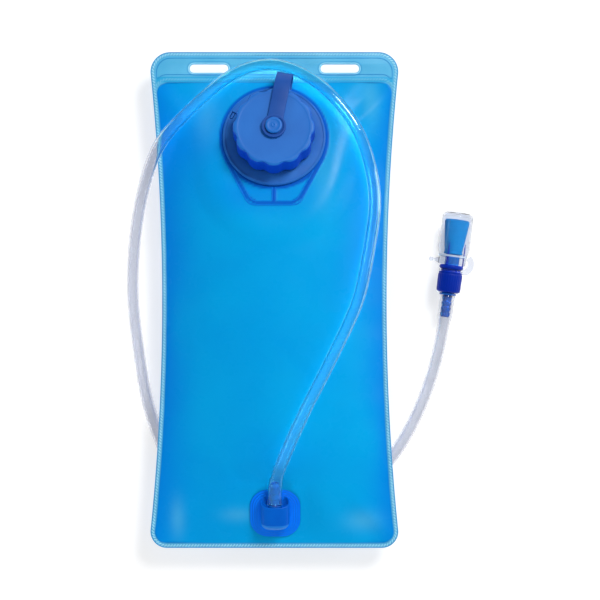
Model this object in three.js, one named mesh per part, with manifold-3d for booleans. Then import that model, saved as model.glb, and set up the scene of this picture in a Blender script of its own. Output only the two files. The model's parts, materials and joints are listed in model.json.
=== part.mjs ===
// Two-litre hydration bladder lying on its back, drinking hose looped round it.
// Millimetres, +Z up, bag top towards +Y, origin under the middle of the bag.
import * as THREE from 'three';
import { mergeVertices } from 'three/addons/utils/BufferGeometryUtils.js';
import Module from 'manifold-3d';

const wasm = await Module();
wasm.setup();

const rad = THREE.MathUtils.degToRad;
const gap = 0.3; // clearance that every pair of touching pieces keeps
const facets = { wide: 32, middle: 24, small: 16 }; // round a turned piece

// Driving dimensions
const bag = {
  halfHeight: 180, halfWidth: 90, halfWaist: 81.5,
  topCorner: 14.5, bottomCorner: 12,
  weld: 3.5, film: 0.5, seamZ: 22,
  frontRise: 30, backSag: 26, crownPower: 2.6,
};
const strip = { bottom: 158, slotX: 47.5, slotY: 168, slotLength: 28, slotWidth: 6 };
const neck = {
  y: 117, tilt: rad(15), bore: 22, tube: 25, thread: 26.2, rim: 19,
  plateTop: -gap, plateThick: 1.7, plateRadius: 39.5,
  pitch: 5, threadStart: 8, threadTurns: 1.75, padNear: 34, padFar: 60, padFoot: 95,
};
const tether = {
  ringInner: 25.9, ringOuter: 37, ringBase: 0.8, ringTop: 3.2, ringHoleRadius: 34.4, ringHoleAngle: rad(152),
  eyelet: 8.5, eyeletHole: 3.3, width: 11, thick: 1.8, reach: 45, lean: rad(10.5),
};
const cap = {
  lobes: 12, radius: 28.5, scallop: 0.7, bevel: 1.2, base: 4.3, top: 22.5,
  inner: 26.9, ceiling: 20.6, rivetHole: 3.3, rivetHoleFloor: 21.3,
  threadCrest: 25.4, threadStart: 5.5, threadTurns: 1.5,
};
const threadForm = { pitch: neck.pitch, footHalf: 1.1, crestHalf: 0.5 };
const outlet = {
  x: 0.7, y: -153.5, tilt: rad(16), side: 36.4, corner: 12, plateBase: 0.8, plateTop: 2.8,
  housingWidth: 21, housingBack: -10.6, housingFront: 10, housingTop: 14,
  boreHeight: 8.3, bore: 5.2, drain: 4, filmHole: 7, padNear: 20, padFar: 44,
};
const tube = { outer: 4.5, inner: 3.2, halfSides: 5, steps: 60 };
const barb = { length: 16, root: 2.5, ridge: 2.85, bore: 1.7, ridges: 3 };
const valve = {
  x: 126.6, y: 3.5, z: 11.6, turn: rad(-7.6), shoulder: 1.6, shoulderRadius: 6,
  collarRadius: 8.9, collarEnd: 17.1, boss: 4.5, neck: 4, neckEnd: 30,
  port: 2.2, hub: 5.2, hubEnd: 36, sealY: 25,
  flangeRadius: 8.75, flangeBase: 19, flangeTop: 22.2,
  prongs: 3, prongInner: 7.7, prongOuter: 8.5, prongTop: 38.5, prongWidth: 2,
  mouthBase: 30.3, mouthTop: 55.8, mouthFoot: 6.5, mouthHead: 9.1, mouthWall: 1.6,
  coverBase: 22.6, coverTop: 61, coverFoot: 10, coverStep: 28.5, coverShoulder: 34, coverBelly: 11.6,
  coverHead: 11.2, coverWall: 0.7, nubReach: 15.5, nubRadius: 1.6, strapRing: 8.4,
};

const chamber = {
  bottom: -bag.halfHeight + bag.weld,
  top: strip.bottom,
};
chamber.middle = (chamber.bottom + chamber.top) / 2;
chamber.reach = (chamber.top - chamber.bottom) / 2;
const sideFoot = -bag.halfHeight + bag.bottomCorner;
const sideHead = bag.halfHeight - bag.topCorner;

// Solid modelling helpers
function solidOf(geometry) {
  const bare = geometry.index ? geometry.clone() : geometry;
  bare.deleteAttribute('normal');
  bare.deleteAttribute('uv');
  const merged = mergeVertices(bare, 1e-4);
  const vertProperties = new Float32Array(merged.attributes.position.array);
  const triVerts = new Uint32Array(merged.index.array);
  return new wasm.Manifold(new wasm.Mesh({ numProp: 3, vertProperties, triVerts }));
}

function geometryOf(solid) {
  const mesh = solid.getMesh();
  const geometry = new THREE.BufferGeometry();
  geometry.setAttribute('position', new THREE.BufferAttribute(mesh.vertProperties, 3));
  geometry.setIndex(new THREE.BufferAttribute(mesh.triVerts, 1));
  geometry.computeVertexNormals();
  return geometry;
}

// profile of [radius, height] pairs that closes on itself, turned about +Y
function turned(profile, segments) {
  const points = [...profile, profile[0]].map(([radius, height]) => new THREE.Vector2(radius, height));
  return new THREE.LatheGeometry(points, segments);
}

// the same, turned about +Z
function turnedUpright(profile, segments) {
  return turned(profile, segments).rotateX(Math.PI / 2);
}

function cylinderUpright(radius, bottom, top, segments) {
  const height = top - bottom;
  return new THREE.CylinderGeometry(radius, radius, height, segments)
    .rotateX(Math.PI / 2)
    .translate(0, 0, (bottom + top) / 2);
}

function cylinderAlong(radius, start, end, segments) {
  return new THREE.CylinderGeometry(radius, radius, end - start, segments).translate(0, (start + end) / 2, 0);
}

function boxBetween(low, high) {
  const size = high.map((value, axis) => value - low[axis]);
  const centre = high.map((value, axis) => (value + low[axis]) / 2);
  return new THREE.BoxGeometry(...size).translate(...centre);
}

function slab(shape, bottom, top, curveSegments = 3) {
  const options = { depth: top - bottom, bevelEnabled: false, curveSegments };
  return new THREE.ExtrudeGeometry(shape, options).translate(0, 0, bottom);
}

function roundedRectangle(halfX, halfY, corner) {
  const shape = new THREE.Shape();
  shape.absarc(halfX - corner, halfY - corner, corner, 0, Math.PI / 2);
  shape.absarc(corner - halfX, halfY - corner, corner, Math.PI / 2, Math.PI);
  shape.absarc(corner - halfX, corner - halfY, corner, Math.PI, Math.PI * 1.5);
  shape.absarc(halfX - corner, corner - halfY, corner, Math.PI * 1.5, Math.PI * 2);
  return shape;
}

// one turn-and-a-bit of screw thread as a tapered helical ridge about +Z
function threadRidge({ root, crest, start, turns, pitch, footHalf, crestHalf }) {
  const stepsPerTurn = 24;
  const steps = Math.round(turns * stepsPerTurn);
  const fadeSteps = 3;
  const positions = [];
  const index = [];
  for (let i = 0; i <= steps; i += 1) {
    const angle = (i / stepsPerTurn) * Math.PI * 2;
    const height = start + (i / stepsPerTurn) * pitch;
    const fade = Math.min(1, (Math.min(i, steps - i) + 0.5) / fadeSteps);
    const tip = root + (crest - root) * fade;
    const section = [[root, -footHalf], [tip, -crestHalf], [tip, crestHalf], [root, footHalf]];
    for (const [radius, offset] of section) {
      positions.push(radius * Math.cos(angle), radius * Math.sin(angle), height + offset);
    }
  }
  const outward = crest > root;
  const addTriangle = (a, b, c) => index.push(...(outward ? [a, b, c] : [a, c, b]));
  for (let i = 0; i < steps; i += 1) {
    for (let k = 0; k < 4; k += 1) {
      const here = i * 4 + k;
      const beside = i * 4 + ((k + 1) % 4);
      addTriangle(here, here + 4, beside);
      addTriangle(beside, here + 4, beside + 4);
    }
  }
  const last = steps * 4;
  addTriangle(0, 1, 2);
  addTriangle(0, 2, 3);
  addTriangle(last, last + 2, last + 1);
  addTriangle(last, last + 3, last + 2);
  const geometry = new THREE.BufferGeometry();
  geometry.setAttribute('position', new THREE.Float32BufferAttribute(positions, 3));
  geometry.setIndex(index);
  return geometry;
}

// Bag outline and the height of its inflated films
function halfWidthAt(y) {
  const middle = (sideFoot + sideHead) / 2;
  const along = Math.min(1, Math.abs(y - middle) / ((sideHead - sideFoot) / 2));
  return bag.halfWaist + (bag.halfWidth - bag.halfWaist) * along ** 2;
}

function bagOutline() {
  const { halfWidth: w, halfHeight: h, topCorner, bottomCorner } = bag;
  const pulledIn = 2 * bag.halfWaist - w;
  const middle = (sideFoot + sideHead) / 2;
  const shape = new THREE.Shape();
  shape.moveTo(bottomCorner - w, -h);
  shape.lineTo(w - bottomCorner, -h);
  shape.absarc(w - bottomCorner, sideFoot, bottomCorner, -Math.PI / 2, 0);
  shape.quadraticCurveTo(pulledIn, middle, w, sideHead);
  shape.absarc(w - topCorner, sideHead, topCorner, 0, Math.PI / 2);
  shape.lineTo(topCorner - w, h);
  shape.absarc(topCorner - w, sideHead, topCorner, Math.PI / 2, Math.PI);
  shape.quadraticCurveTo(-pulledIn, middle, -w, sideFoot);
  shape.absarc(bottomCorner - w, sideFoot, bottomCorner, Math.PI, Math.PI * 1.5);
  return shape;
}

function outlineSolid(bottom, top) {
  return solidOf(slab(bagOutline(), bottom, top, 8));
}

// 0 on the welds, 1 in the middle of the chamber
function fullness(x, y) {
  const across = Math.min(1, Math.abs(x) / (halfWidthAt(y) - bag.weld));
  const along = Math.min(1, Math.abs(y - chamber.middle) / chamber.reach);
  return (1 - across ** 2) * (1 - along ** bag.crownPower);
}

function neckPlane(y) {
  return bag.seamZ + Math.max(0, chamber.top - y) * Math.tan(neck.tilt);
}

function outletPlane(y) {
  return bag.seamZ + Math.max(0, y - chamber.bottom) * Math.tan(outlet.tilt);
}

// underside of the front film: a dome with a flat seat for the neck and one for the outlet
function frontHeight(x, y) {
  const dome = bag.seamZ + bag.frontRise * fullness(x, y);
  const nearestNeckY = THREE.MathUtils.clamp(y, neck.padFoot, neck.y);
  const neckDistance = Math.hypot(x, y - nearestNeckY);
  const offNeck = THREE.MathUtils.smoothstep(neckDistance, neck.padNear, neck.padFar);
  const outletDistance = Math.max(Math.abs(x - outlet.x), Math.abs(y - outlet.y));
  const offOutlet = THREE.MathUtils.smoothstep(outletDistance, outlet.padNear, outlet.padFar);
  const seated = THREE.MathUtils.lerp(neckPlane(y), dome, offNeck);
  return gap / 2 + THREE.MathUtils.lerp(outletPlane(y), seated, offOutlet);
}

// underside of the back film, flat where the bag lies on the ground
function backHeight(x, y) {
  const seam = bag.seamZ - gap / 2 - bag.film;
  return Math.max(0, seam - bag.backSag * fullness(x, y));
}

// a sheet whose outermost cells are the weld and whose cells follow the bag's sides
function filmSheet(heightAt) {
  const columns = 16;
  const rows = 26;
  const overhang = 1;
  const columnStep = 2 / columns;
  const rowStep = 2 / rows;
  const sheet = new THREE.BoxGeometry(2, 2, 1, columns, rows, 1);
  const position = sheet.attributes.position;
  for (let i = 0; i < position.count; i += 1) {
    const u = position.getX(i);
    const v = position.getY(i);
    const inWeldRow = v < -1 + rowStep / 2;
    const share = (v + 1 - rowStep) / (2 - rowStep);
    const inChamber = THREE.MathUtils.lerp(chamber.bottom, chamber.top - gap, share);
    const y = inWeldRow ? -bag.halfHeight - overhang : inChamber;
    const inWeldColumn = Math.abs(u) > 1 - columnStep / 2;
    const reach = inWeldColumn ? halfWidthAt(y) + overhang : halfWidthAt(y) - bag.weld;
    const x = inWeldColumn ? Math.sign(u) * reach : (u / (1 - columnStep)) * reach;
    const z = heightAt(x, y) + (position.getZ(i) > 0 ? bag.film : 0);
    position.setXYZ(i, x, y, z);
  }
  return solidOf(sheet).intersect(outlineSolid(-1, bag.seamZ + bag.frontRise + neck.rim));
}

function frontFilm() {
  const neckHole = cylinderUpright(neck.tube + gap, -20, 20, facets.wide).rotateX(-neck.tilt)
    .translate(0, neck.y, neckPlane(neck.y));
  const outletHole = cylinderUpright(outlet.filmHole, -20, 20, facets.small).rotateX(outlet.tilt)
    .translate(outlet.x, outlet.y, outletPlane(outlet.y));
  return geometryOf(filmSheet(frontHeight).subtract(solidOf(neckHole)).subtract(solidOf(outletHole)));
}

function backFilm() {
  return geometryOf(filmSheet(backHeight));
}

function hangStrip() {
  const half = gap / 2 + bag.film;
  const band = boxBetween(
    [-bag.halfWidth - 1, strip.bottom, bag.seamZ - half - 1],
    [bag.halfWidth + 1, bag.halfHeight + 1, bag.seamZ + half + 1],
  );
  let solid = outlineSolid(bag.seamZ - half, bag.seamZ + half).intersect(solidOf(band));
  for (const side of [-1, 1]) {
    const slot = roundedRectangle(strip.slotLength / 2, strip.slotWidth / 2, strip.slotWidth / 2 - 0.01);
    const cutter = slab(slot, bag.seamZ - 5, bag.seamZ + 5).translate(side * strip.slotX, strip.slotY, 0);
    solid = solid.subtract(solidOf(cutter));
  }
  return geometryOf(solid);
}

// Filling neck, in its own frame: +Z is the screw axis, z = 0 the seat of the film
const grip = {
  foot: -51, corner: -46, cornerX: 20.5, footX: 13, bar: 2.8, rib: 1.3, legX: 36.5, legY: -15,
  windowX: 25.5, windowY: -30.2,
};

function neckPlateShape() {
  const tangent = Math.atan2(grip.legY, grip.legX);
  const shape = new THREE.Shape();
  shape.absarc(0, 0, neck.plateRadius, tangent, Math.PI - tangent);
  shape.lineTo(-grip.cornerX, grip.corner);
  shape.quadraticCurveTo(-grip.cornerX + 2, grip.foot, -grip.footX, grip.foot);
  shape.lineTo(grip.footX, grip.foot);
  shape.quadraticCurveTo(grip.cornerX - 2, grip.foot, grip.cornerX, grip.corner);
  for (const side of [-1, 1]) {
    const window = new THREE.Path();
    const top = Math.atan2(grip.windowY, side * grip.windowX);
    const ribTop = Math.atan2(-neck.plateRadius, side * grip.rib);
    window.moveTo(side * grip.rib, grip.foot + grip.bar);
    window.lineTo(side * (grip.footX - 0.2), grip.foot + grip.bar);
    window.lineTo(side * (grip.cornerX - grip.bar), grip.corner + grip.bar / 2);
    window.absarc(0, 0, neck.plateRadius, top, ribTop, side > 0);
    shape.holes.push(window);
  }
  return shape;
}

function neckSpout() {
  const plate = slab(neckPlateShape(), neck.plateTop - neck.plateThick, neck.plateTop, 12);
  const wall = turnedUpright([
    [neck.bore, neck.plateTop - neck.plateThick],
    [neck.tube, neck.plateTop - neck.plateThick],
    [neck.tube, neck.rim],
    [neck.bore, neck.rim],
  ], facets.wide);
  const bore = cylinderUpright(neck.bore, -20, neck.rim + 5, facets.wide);
  const thread = threadRidge({
    ...threadForm, root: neck.tube - 0.5, crest: neck.thread,
    start: neck.threadStart, turns: neck.threadTurns,
  });
  return geometryOf(solidOf(plate).subtract(solidOf(bore)).add(solidOf(wall)).add(solidOf(thread)));
}

function tetherRing() {
  const ring = turnedUpright([
    [tether.ringInner, tether.ringBase],
    [tether.ringOuter - 0.6, tether.ringBase],
    [tether.ringOuter, tether.ringBase + 0.8],
    [tether.ringOuter, tether.ringTop - 0.6],
    [tether.ringOuter - 0.6, tether.ringTop],
    [tether.ringInner, tether.ringTop],
  ], facets.wide);
  const hole = slab(roundedRectangle(0.8, 2.4, 0.75), 0, 6)
    .translate(tether.ringHoleRadius, 0, 0)
    .rotateZ(tether.ringHoleAngle);
  return geometryOf(solidOf(ring).subtract(solidOf(hole)));
}

function capShape() {
  const shape = new THREE.Shape();
  const steps = cap.lobes * 4;
  const rimRadius = (angle) => cap.radius - cap.bevel + cap.scallop * Math.cos(cap.lobes * angle);
  shape.moveTo(rimRadius(0), 0);
  for (let i = 1; i < steps; i += 1) {
    const angle = (i / steps) * Math.PI * 2;
    shape.lineTo(rimRadius(angle) * Math.cos(angle), rimRadius(angle) * Math.sin(angle));
  }
  return shape;
}

function screwCap() {
  const bevel = cap.bevel;
  const shell = new THREE.ExtrudeGeometry(capShape(), {
    depth: cap.top - cap.base - 2 * bevel,
    bevelEnabled: true, bevelSize: bevel, bevelThickness: bevel, bevelSegments: 2,
  }).translate(0, 0, cap.base + bevel);
  const hollow = cylinderUpright(cap.inner, cap.base - 5, cap.ceiling, facets.wide);
  const thread = threadRidge({
    ...threadForm, root: cap.inner + 0.5, crest: cap.threadCrest,
    start: cap.threadStart, turns: cap.threadTurns,
  });
  const rivetHole = cylinderUpright(cap.rivetHole, cap.rivetHoleFloor, cap.top + 5, facets.middle);
  return geometryOf(
    solidOf(shell).subtract(solidOf(hollow)).add(solidOf(thread)).subtract(solidOf(rivetHole)),
  );
}

function capGasket() {
  const top = cap.ceiling - gap;
  const inner = neck.bore + 0.4;
  const outer = cap.inner - 0.8;
  return turnedUpright([[inner, top - 1], [outer, top - 1], [outer, top], [inner, top]], facets.wide);
}

function capRivet() {
  const shank = tether.eyeletHole - gap;
  const headBase = cap.top + tether.thick + 2 * gap;
  const headTop = headBase + 1.5;
  return turnedUpright([
    [0, cap.rivetHoleFloor + gap],
    [shank, cap.rivetHoleFloor + gap],
    [shank, headBase],
    [5.9, headBase],
    [5.9, headTop - 0.5],
    [5.4, headTop],
    [1.6, headTop],
    [1.3, headTop - 0.4],
    [0, headTop - 0.4],
  ], 20);
}

// eyelet on the rivet, strap over the cap's edge, and the fold back to the ring
function tetherStrap() {
  const bottom = cap.top + gap;
  const middle = bottom + tether.thick / 2;
  const eyelet = cylinderUpright(tether.eyelet, bottom, bottom + tether.thick, facets.wide);
  const path = new THREE.CatmullRomCurve3([
    new THREE.Vector3(0, 4, middle),
    new THREE.Vector3(0, 16, middle),
    new THREE.Vector3(0, 27, middle),
    new THREE.Vector3(0, 36, middle - 2),
    new THREE.Vector3(0, 43, middle - 8),
    new THREE.Vector3(0, tether.reach, middle - 14),
    new THREE.Vector3(0, 43.2, middle - 19.5),
    new THREE.Vector3(0, tether.ringOuter + gap, tether.ringBase + 1.2),
  ]);
  const section = roundedRectangle(tether.thick / 2, tether.width / 2, 0.5);
  const strap = new THREE.ExtrudeGeometry(section, {
    steps: 14, bevelEnabled: false, extrudePath: path, curveSegments: 1,
  });
  const hole = cylinderUpright(tether.eyeletHole, bottom - 5, bottom + 10, facets.middle);
  return geometryOf(solidOf(eyelet).add(solidOf(strap)).subtract(solidOf(hole)));
}

// Outlet fitting, in its own frame: +Z out of the film, +Y along the hose
function outletFlange() {
  const half = outlet.side / 2;
  const upperHalf = half - 1.8;
  const upperOutline = roundedRectangle(upperHalf, upperHalf, outlet.corner - 1.8);
  const lower = slab(roundedRectangle(half, half, outlet.corner), outlet.plateBase, outlet.plateTop - 0.9);
  const upper = slab(upperOutline, outlet.plateTop - 1, outlet.plateTop);
  const halfWidth = outlet.housingWidth / 2;
  const crown = new THREE.Shape();
  crown.moveTo(-halfWidth, outlet.plateTop - 1);
  crown.lineTo(halfWidth, outlet.plateTop - 1);
  crown.lineTo(halfWidth - 0.5, 6);
  crown.bezierCurveTo(halfWidth - 1, 11, 6, outlet.housingTop, 0, outlet.housingTop);
  crown.bezierCurveTo(-6, outlet.housingTop, 1 - halfWidth, 11, 0.5 - halfWidth, 6);
  const housing = slab(crown, -outlet.housingFront, -outlet.housingBack, 8).rotateX(Math.PI / 2);
  const bore = cylinderAlong(outlet.bore, -6, outlet.housingFront + 5, facets.middle)
    .translate(0, 0, outlet.boreHeight);
  const drain = cylinderUpright(outlet.drain, -5, outlet.boreHeight, facets.middle);
  return geometryOf(
    solidOf(lower).add(solidOf(upper)).add(solidOf(housing)).subtract(solidOf(bore)).subtract(solidOf(drain)),
  );
}

// sawtooth outline of a hose barb that ends at `tip` and grows towards `foot`
function barbTeeth(tip, foot) {
  const pitch = (foot - tip) / barb.ridges;
  const teeth = [];
  for (let i = 0; i < barb.ridges; i += 1) {
    teeth.push([barb.root, tip + i * pitch]);
    teeth.push([barb.ridge, tip + (i + 0.7) * pitch]);
    teeth.push([barb.root, tip + (i + 0.75) * pitch]);
  }
  return teeth;
}

function outletBarb() {
  const face = outlet.housingFront;
  const plug = outlet.bore - gap;
  const tip = face + gap + barb.length;
  const teeth = barbTeeth(-tip, -face - 1).map(([radius, height]) => [radius, -height]).reverse();
  return turned([
    [barb.bore, -5 + gap],
    [plug, -5 + gap],
    [plug, 2],
    [3.4, 2],
    [3.4, 4],
    [plug, 4],
    [plug, face],
    [barb.root, face],
    ...teeth,
    [barb.bore, tip],
  ], facets.small);
}

function outletORing() {
  return new THREE.TorusGeometry(4.3, 0.6, 6, 16).rotateX(Math.PI / 2).translate(0, 3, 0);
}

// Hose: route of its centre line from the outlet barb to the bite valve
function hoseRoute() {
  const outletFrame = new THREE.Matrix4()
    .makeRotationX(outlet.tilt)
    .setPosition(outlet.x, outlet.y, outletPlane(outlet.y) + gap / 2);
  const leaving = (distance) => new THREE.Vector3(0, outlet.housingFront + gap + distance, outlet.boreHeight)
    .applyMatrix4(outletFrame);
  const arriving = (distance) => new THREE.Vector3(0, -distance - gap, 0)
    .applyAxisAngle(new THREE.Vector3(0, 0, 1), valve.turn)
    .add(new THREE.Vector3(valve.x, valve.y, valve.z));
  const laid = [
    [14.7, -95, 52.5], [22.5, -77.7, 54.5], [36.3, -51.1, 52.5], [52.7, -17.8, 46], [60.4, 0, 43],
    [69.3, 43.1, 37.2], [72.7, 70.5, 35.2], [68.9, 97.8, 35.2], [58.7, 125.3, 35.2], [37.1, 151.9, 32],
    [18.6, 164.8, 28.9], [0.5, 170.7, 28.2], [-17.6, 168.5, 28.3], [-32, 161.9, 29.3], [-49.9, 147.2, 32],
    [-68, 129.9, 32.2], [-83.3, 112.2, 29.6], [-93.8, 84.9, 23], [-100.2, 57.6, 16], [-103.5, 29.6, 10.5],
    [-104.3, 1.5, 7], [-99.5, -42, 5], [-94.8, -70.4, 4.8], [-88.5, -91.3, 4.8], [-77.1, -119.3, 4.8],
    [-55, -147.2, 4.8], [-25.6, -161.9, 4.8], [7.6, -163.4, 4.8], [40.7, -153.1, 4.8], [66.4, -136.2, 4.8],
    [87.1, -114.5, 4.8], [102.8, -88, 4.8], [114, -59.8, 6.5], [120.8, -34, 9.5],
  ];
  const points = [
    leaving(0), leaving(8), leaving(16),
    ...laid.map((place) => new THREE.Vector3(...place)),
    arriving(16), arriving(8), arriving(0),
  ];
  return new THREE.CatmullRomCurve3(points, false, 'centripetal');
}

function drinkingHose() {
  const section = new THREE.Shape();
  section.absarc(0, 0, tube.outer, 0, Math.PI * 2);
  const hole = new THREE.Path();
  hole.absarc(0, 0, tube.inner, 0, Math.PI * 2, true);
  section.holes.push(hole);
  return new THREE.ExtrudeGeometry(section, {
    steps: tube.steps, bevelEnabled: false, extrudePath: hoseRoute(), curveSegments: tube.halfSides,
  });
}

// Bite valve, in its own frame: +Y is its axis, y = 0 where the hose ends
function valveStem() {
  return turned([
    [barb.bore, -barb.length],
    ...barbTeeth(-barb.length, 0),
    [barb.root, 0],
    [valve.shoulderRadius, 0],
    [valve.shoulderRadius, valve.shoulder],
    [valve.boss, valve.shoulder],
    [valve.boss, valve.flangeBase - gap],
    [valve.neck, valve.flangeBase - gap],
    [valve.neck, valve.sealY - 1],
    [valve.neck - 1.3, valve.sealY - 1],
    [valve.neck - 1.3, valve.sealY + 1],
    [valve.neck, valve.sealY + 1],
    [valve.neck, valve.neckEnd],
    [barb.bore, valve.neckEnd],
  ], facets.small);
}

function valveCollar() {
  const { collarRadius: r, shoulder, collarEnd, boss } = valve;
  return turned([
    [boss + gap, shoulder + gap],
    [r - 1.2, shoulder + gap],
    [r, shoulder + gap + 1.2],
    [r, collarEnd - 1.4],
    [r - 0.8, collarEnd],
    [boss + gap, collarEnd],
  ], facets.middle);
}

function valveHousing() {
  const hub = turned([
    [valve.neck + gap, valve.flangeBase],
    [valve.flangeRadius - 0.5, valve.flangeBase],
    [valve.flangeRadius, valve.flangeBase + 0.5],
    [valve.flangeRadius, valve.flangeTop],
    [valve.hub, valve.flangeTop],
    [valve.hub, valve.hubEnd],
    [valve.port, valve.hubEnd],
    [valve.port, valve.neckEnd + 2],
    [valve.neck + gap, valve.neckEnd + 2],
  ], facets.middle);
  let solid = solidOf(hub);
  const wall = solidOf(turned([
    [valve.prongInner, valve.flangeTop - 0.5],
    [valve.prongOuter, valve.flangeTop - 0.5],
    [valve.prongOuter, valve.prongTop],
    [valve.prongInner, valve.prongTop],
  ], 2 * facets.middle));
  for (let i = 0; i < valve.prongs; i += 1) {
    const slice = boxBetween(
      [2, valve.flangeTop - 2, -valve.prongWidth / 2],
      [15, valve.prongTop + 2, valve.prongWidth / 2],
    ).rotateY((-i / valve.prongs) * Math.PI * 2);
    solid = solid.add(wall.intersect(solidOf(slice)));
  }
  return geometryOf(solid);
}

function valveORing() {
  return new THREE.TorusGeometry(valve.neck - 0.55, 0.5, 6, 16)
    .rotateX(Math.PI / 2)
    .translate(0, valve.sealY, 0);
}

function mouthpiece() {
  const { mouthBase: base, mouthTop: top, mouthFoot: foot, mouthHead: head, mouthWall: wall } = valve;
  const body = turned([
    [valve.hub + gap, base],
    [foot + 0.4, base],
    [foot + 0.4, base + 1.2],
    [foot, base + 1.6],
    [head, top - 1.6],
    [head - 1.4, top],
    [0, top - 0.4],
    [0, top - 2.4],
    [head - wall - 0.8, top - 2.6],
    [valve.hub + gap, base + 8],
  ], facets.middle);
  const slit = boxBetween([-5, top - 4, -0.4], [5, top + 2, 0.4]);
  return geometryOf(solidOf(body).subtract(solidOf(slit)));
}

function dustCover() {
  const { coverBase: base, coverTop: top, coverFoot: foot, coverHead: head, coverWall: wall } = valve;
  const shell = turned([
    [foot - wall, base],
    [foot, base],
    [foot, valve.coverStep],
    [valve.coverBelly, valve.coverShoulder],
    [head, top - 3],
    [head - 2, top - 0.8],
    [0, top],
    [0, top - wall],
    [head - 2.4, top - wall - 0.8],
    [head - wall, top - 3.4],
    [valve.coverBelly - wall, valve.coverShoulder],
    [foot - wall, valve.coverStep],
  ], facets.middle);
  const stalk = new THREE.CylinderGeometry(1, 1, 5.1, 10)
    .rotateZ(Math.PI / 2)
    .translate(-foot - 2.1, valve.sealY, 0);
  const ball = new THREE.SphereGeometry(valve.nubRadius, 12, 8).translate(-valve.nubReach, valve.sealY, 0);
  return geometryOf(solidOf(shell).add(solidOf(stalk)).add(solidOf(ball)));
}

// ring held in the groove above the collar, and the loop that reaches the cover
function dustCoverStrap() {
  const groove = (valve.collarEnd + valve.flangeBase) / 2;
  const ring = turned([
    [valve.boss + gap, groove - 0.5],
    [valve.strapRing, groove - 0.5],
    [valve.strapRing, groove + 0.5],
    [valve.boss + gap, groove + 0.5],
  ], 20);
  const reach = valve.coverFoot + gap;
  const path = new THREE.CatmullRomCurve3([
    new THREE.Vector3(7, groove, 0),
    new THREE.Vector3(11.5, groove - 0.1, 0),
    new THREE.Vector3(15.5, groove + 1.6, 0),
    new THREE.Vector3(17.6, groove + 5.6, 0),
    new THREE.Vector3(15.6, groove + 9.8, 0),
    new THREE.Vector3(reach + 1, groove + 11.6, 0),
  ]);
  const section = roundedRectangle(1.7, 0.5, 0.3);
  const loop = new THREE.ExtrudeGeometry(section, {
    steps: 10, bevelEnabled: false, extrudePath: path, curveSegments: 1,
  });
  return geometryOf(solidOf(ring).add(solidOf(loop)));
}

// Assembly
const materials = {
  film: { color: 0x13a4e6, roughness: 0.3, metalness: 0, transparent: true, opacity: 0.75 },
  seam: { color: 0x72c4ec, roughness: 0.4, metalness: 0, transparent: true, opacity: 0.85 },
  tether: { color: 0x3f54a8, roughness: 0.55, metalness: 0 },
  cap: { color: 0x2a6bc8, roughness: 0.45, metalness: 0 },
  fitting: { color: 0x0a5fd0, roughness: 0.35, metalness: 0 },
  dark: { color: 0x0a2f9a, roughness: 0.35, metalness: 0 },
  clear: { color: 0xdfe4ec, roughness: 0.2, metalness: 0, transparent: true, opacity: 0.5 },
  silicone: { color: 0x1a92dc, roughness: 0.5, metalness: 0 },
  rubber: { color: 0x22252b, roughness: 0.8, metalness: 0 },
};

function addPart(parent, name, geometry, material) {
  const mesh = new THREE.Mesh(geometry, new THREE.MeshStandardMaterial(materials[material]));
  mesh.name = name;
  parent.add(mesh);
}

const bladder = new THREE.Group();
addPart(bladder, 'front_film', frontFilm(), 'film');
addPart(bladder, 'back_film', backFilm(), 'film');
addPart(bladder, 'hang_strip', hangStrip(), 'seam');

const neckGroup = new THREE.Group();
neckGroup.position.set(0, neck.y, neckPlane(neck.y) + gap / 2);
neckGroup.rotation.x = -neck.tilt;
bladder.add(neckGroup);
addPart(neckGroup, 'neck_spout', neckSpout(), 'fitting');
addPart(neckGroup, 'tether_ring', tetherRing(), 'tether');
addPart(neckGroup, 'cap', screwCap(), 'cap');
addPart(neckGroup, 'cap_gasket', capGasket(), 'rubber');
addPart(neckGroup, 'cap_rivet', capRivet(), 'cap');

const strapGroup = new THREE.Group();
strapGroup.rotation.z = -tether.lean;
neckGroup.add(strapGroup);
addPart(strapGroup, 'tether_strap', tetherStrap(), 'tether');

const outletGroup = new THREE.Group();
outletGroup.position.set(outlet.x, outlet.y, outletPlane(outlet.y) + gap / 2);
outletGroup.rotation.x = outlet.tilt;
bladder.add(outletGroup);
addPart(outletGroup, 'outlet_flange', outletFlange(), 'fitting');

const barbGroup = new THREE.Group();
barbGroup.position.set(0, 0, outlet.boreHeight);
outletGroup.add(barbGroup);
addPart(barbGroup, 'outlet_barb', outletBarb(), 'fitting');
addPart(barbGroup, 'outlet_o_ring', outletORing(), 'rubber');

addPart(bladder, 'hose', drinkingHose(), 'clear');

const valveGroup = new THREE.Group();
valveGroup.position.set(valve.x, valve.y, valve.z);
valveGroup.rotation.z = valve.turn;
bladder.add(valveGroup);
addPart(valveGroup, 'valve_stem', valveStem(), 'dark');
addPart(valveGroup, 'valve_collar', valveCollar(), 'dark');
addPart(valveGroup, 'valve_housing', valveHousing(), 'dark');
addPart(valveGroup, 'valve_o_ring', valveORing(), 'rubber');
addPart(valveGroup, 'mouthpiece', mouthpiece(), 'silicone');
addPart(valveGroup, 'dust_cover', dustCover(), 'clear');
addPart(valveGroup, 'dust_cover_strap', dustCoverStrap(), 'clear');

export default bladder;
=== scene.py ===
"""Looks of the hydration bladder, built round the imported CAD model. Sizes are in mm; meshes are in metres."""
import json
import math

import bmesh
import bpy
import numpy as np
from mathutils import Matrix, Vector


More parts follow.
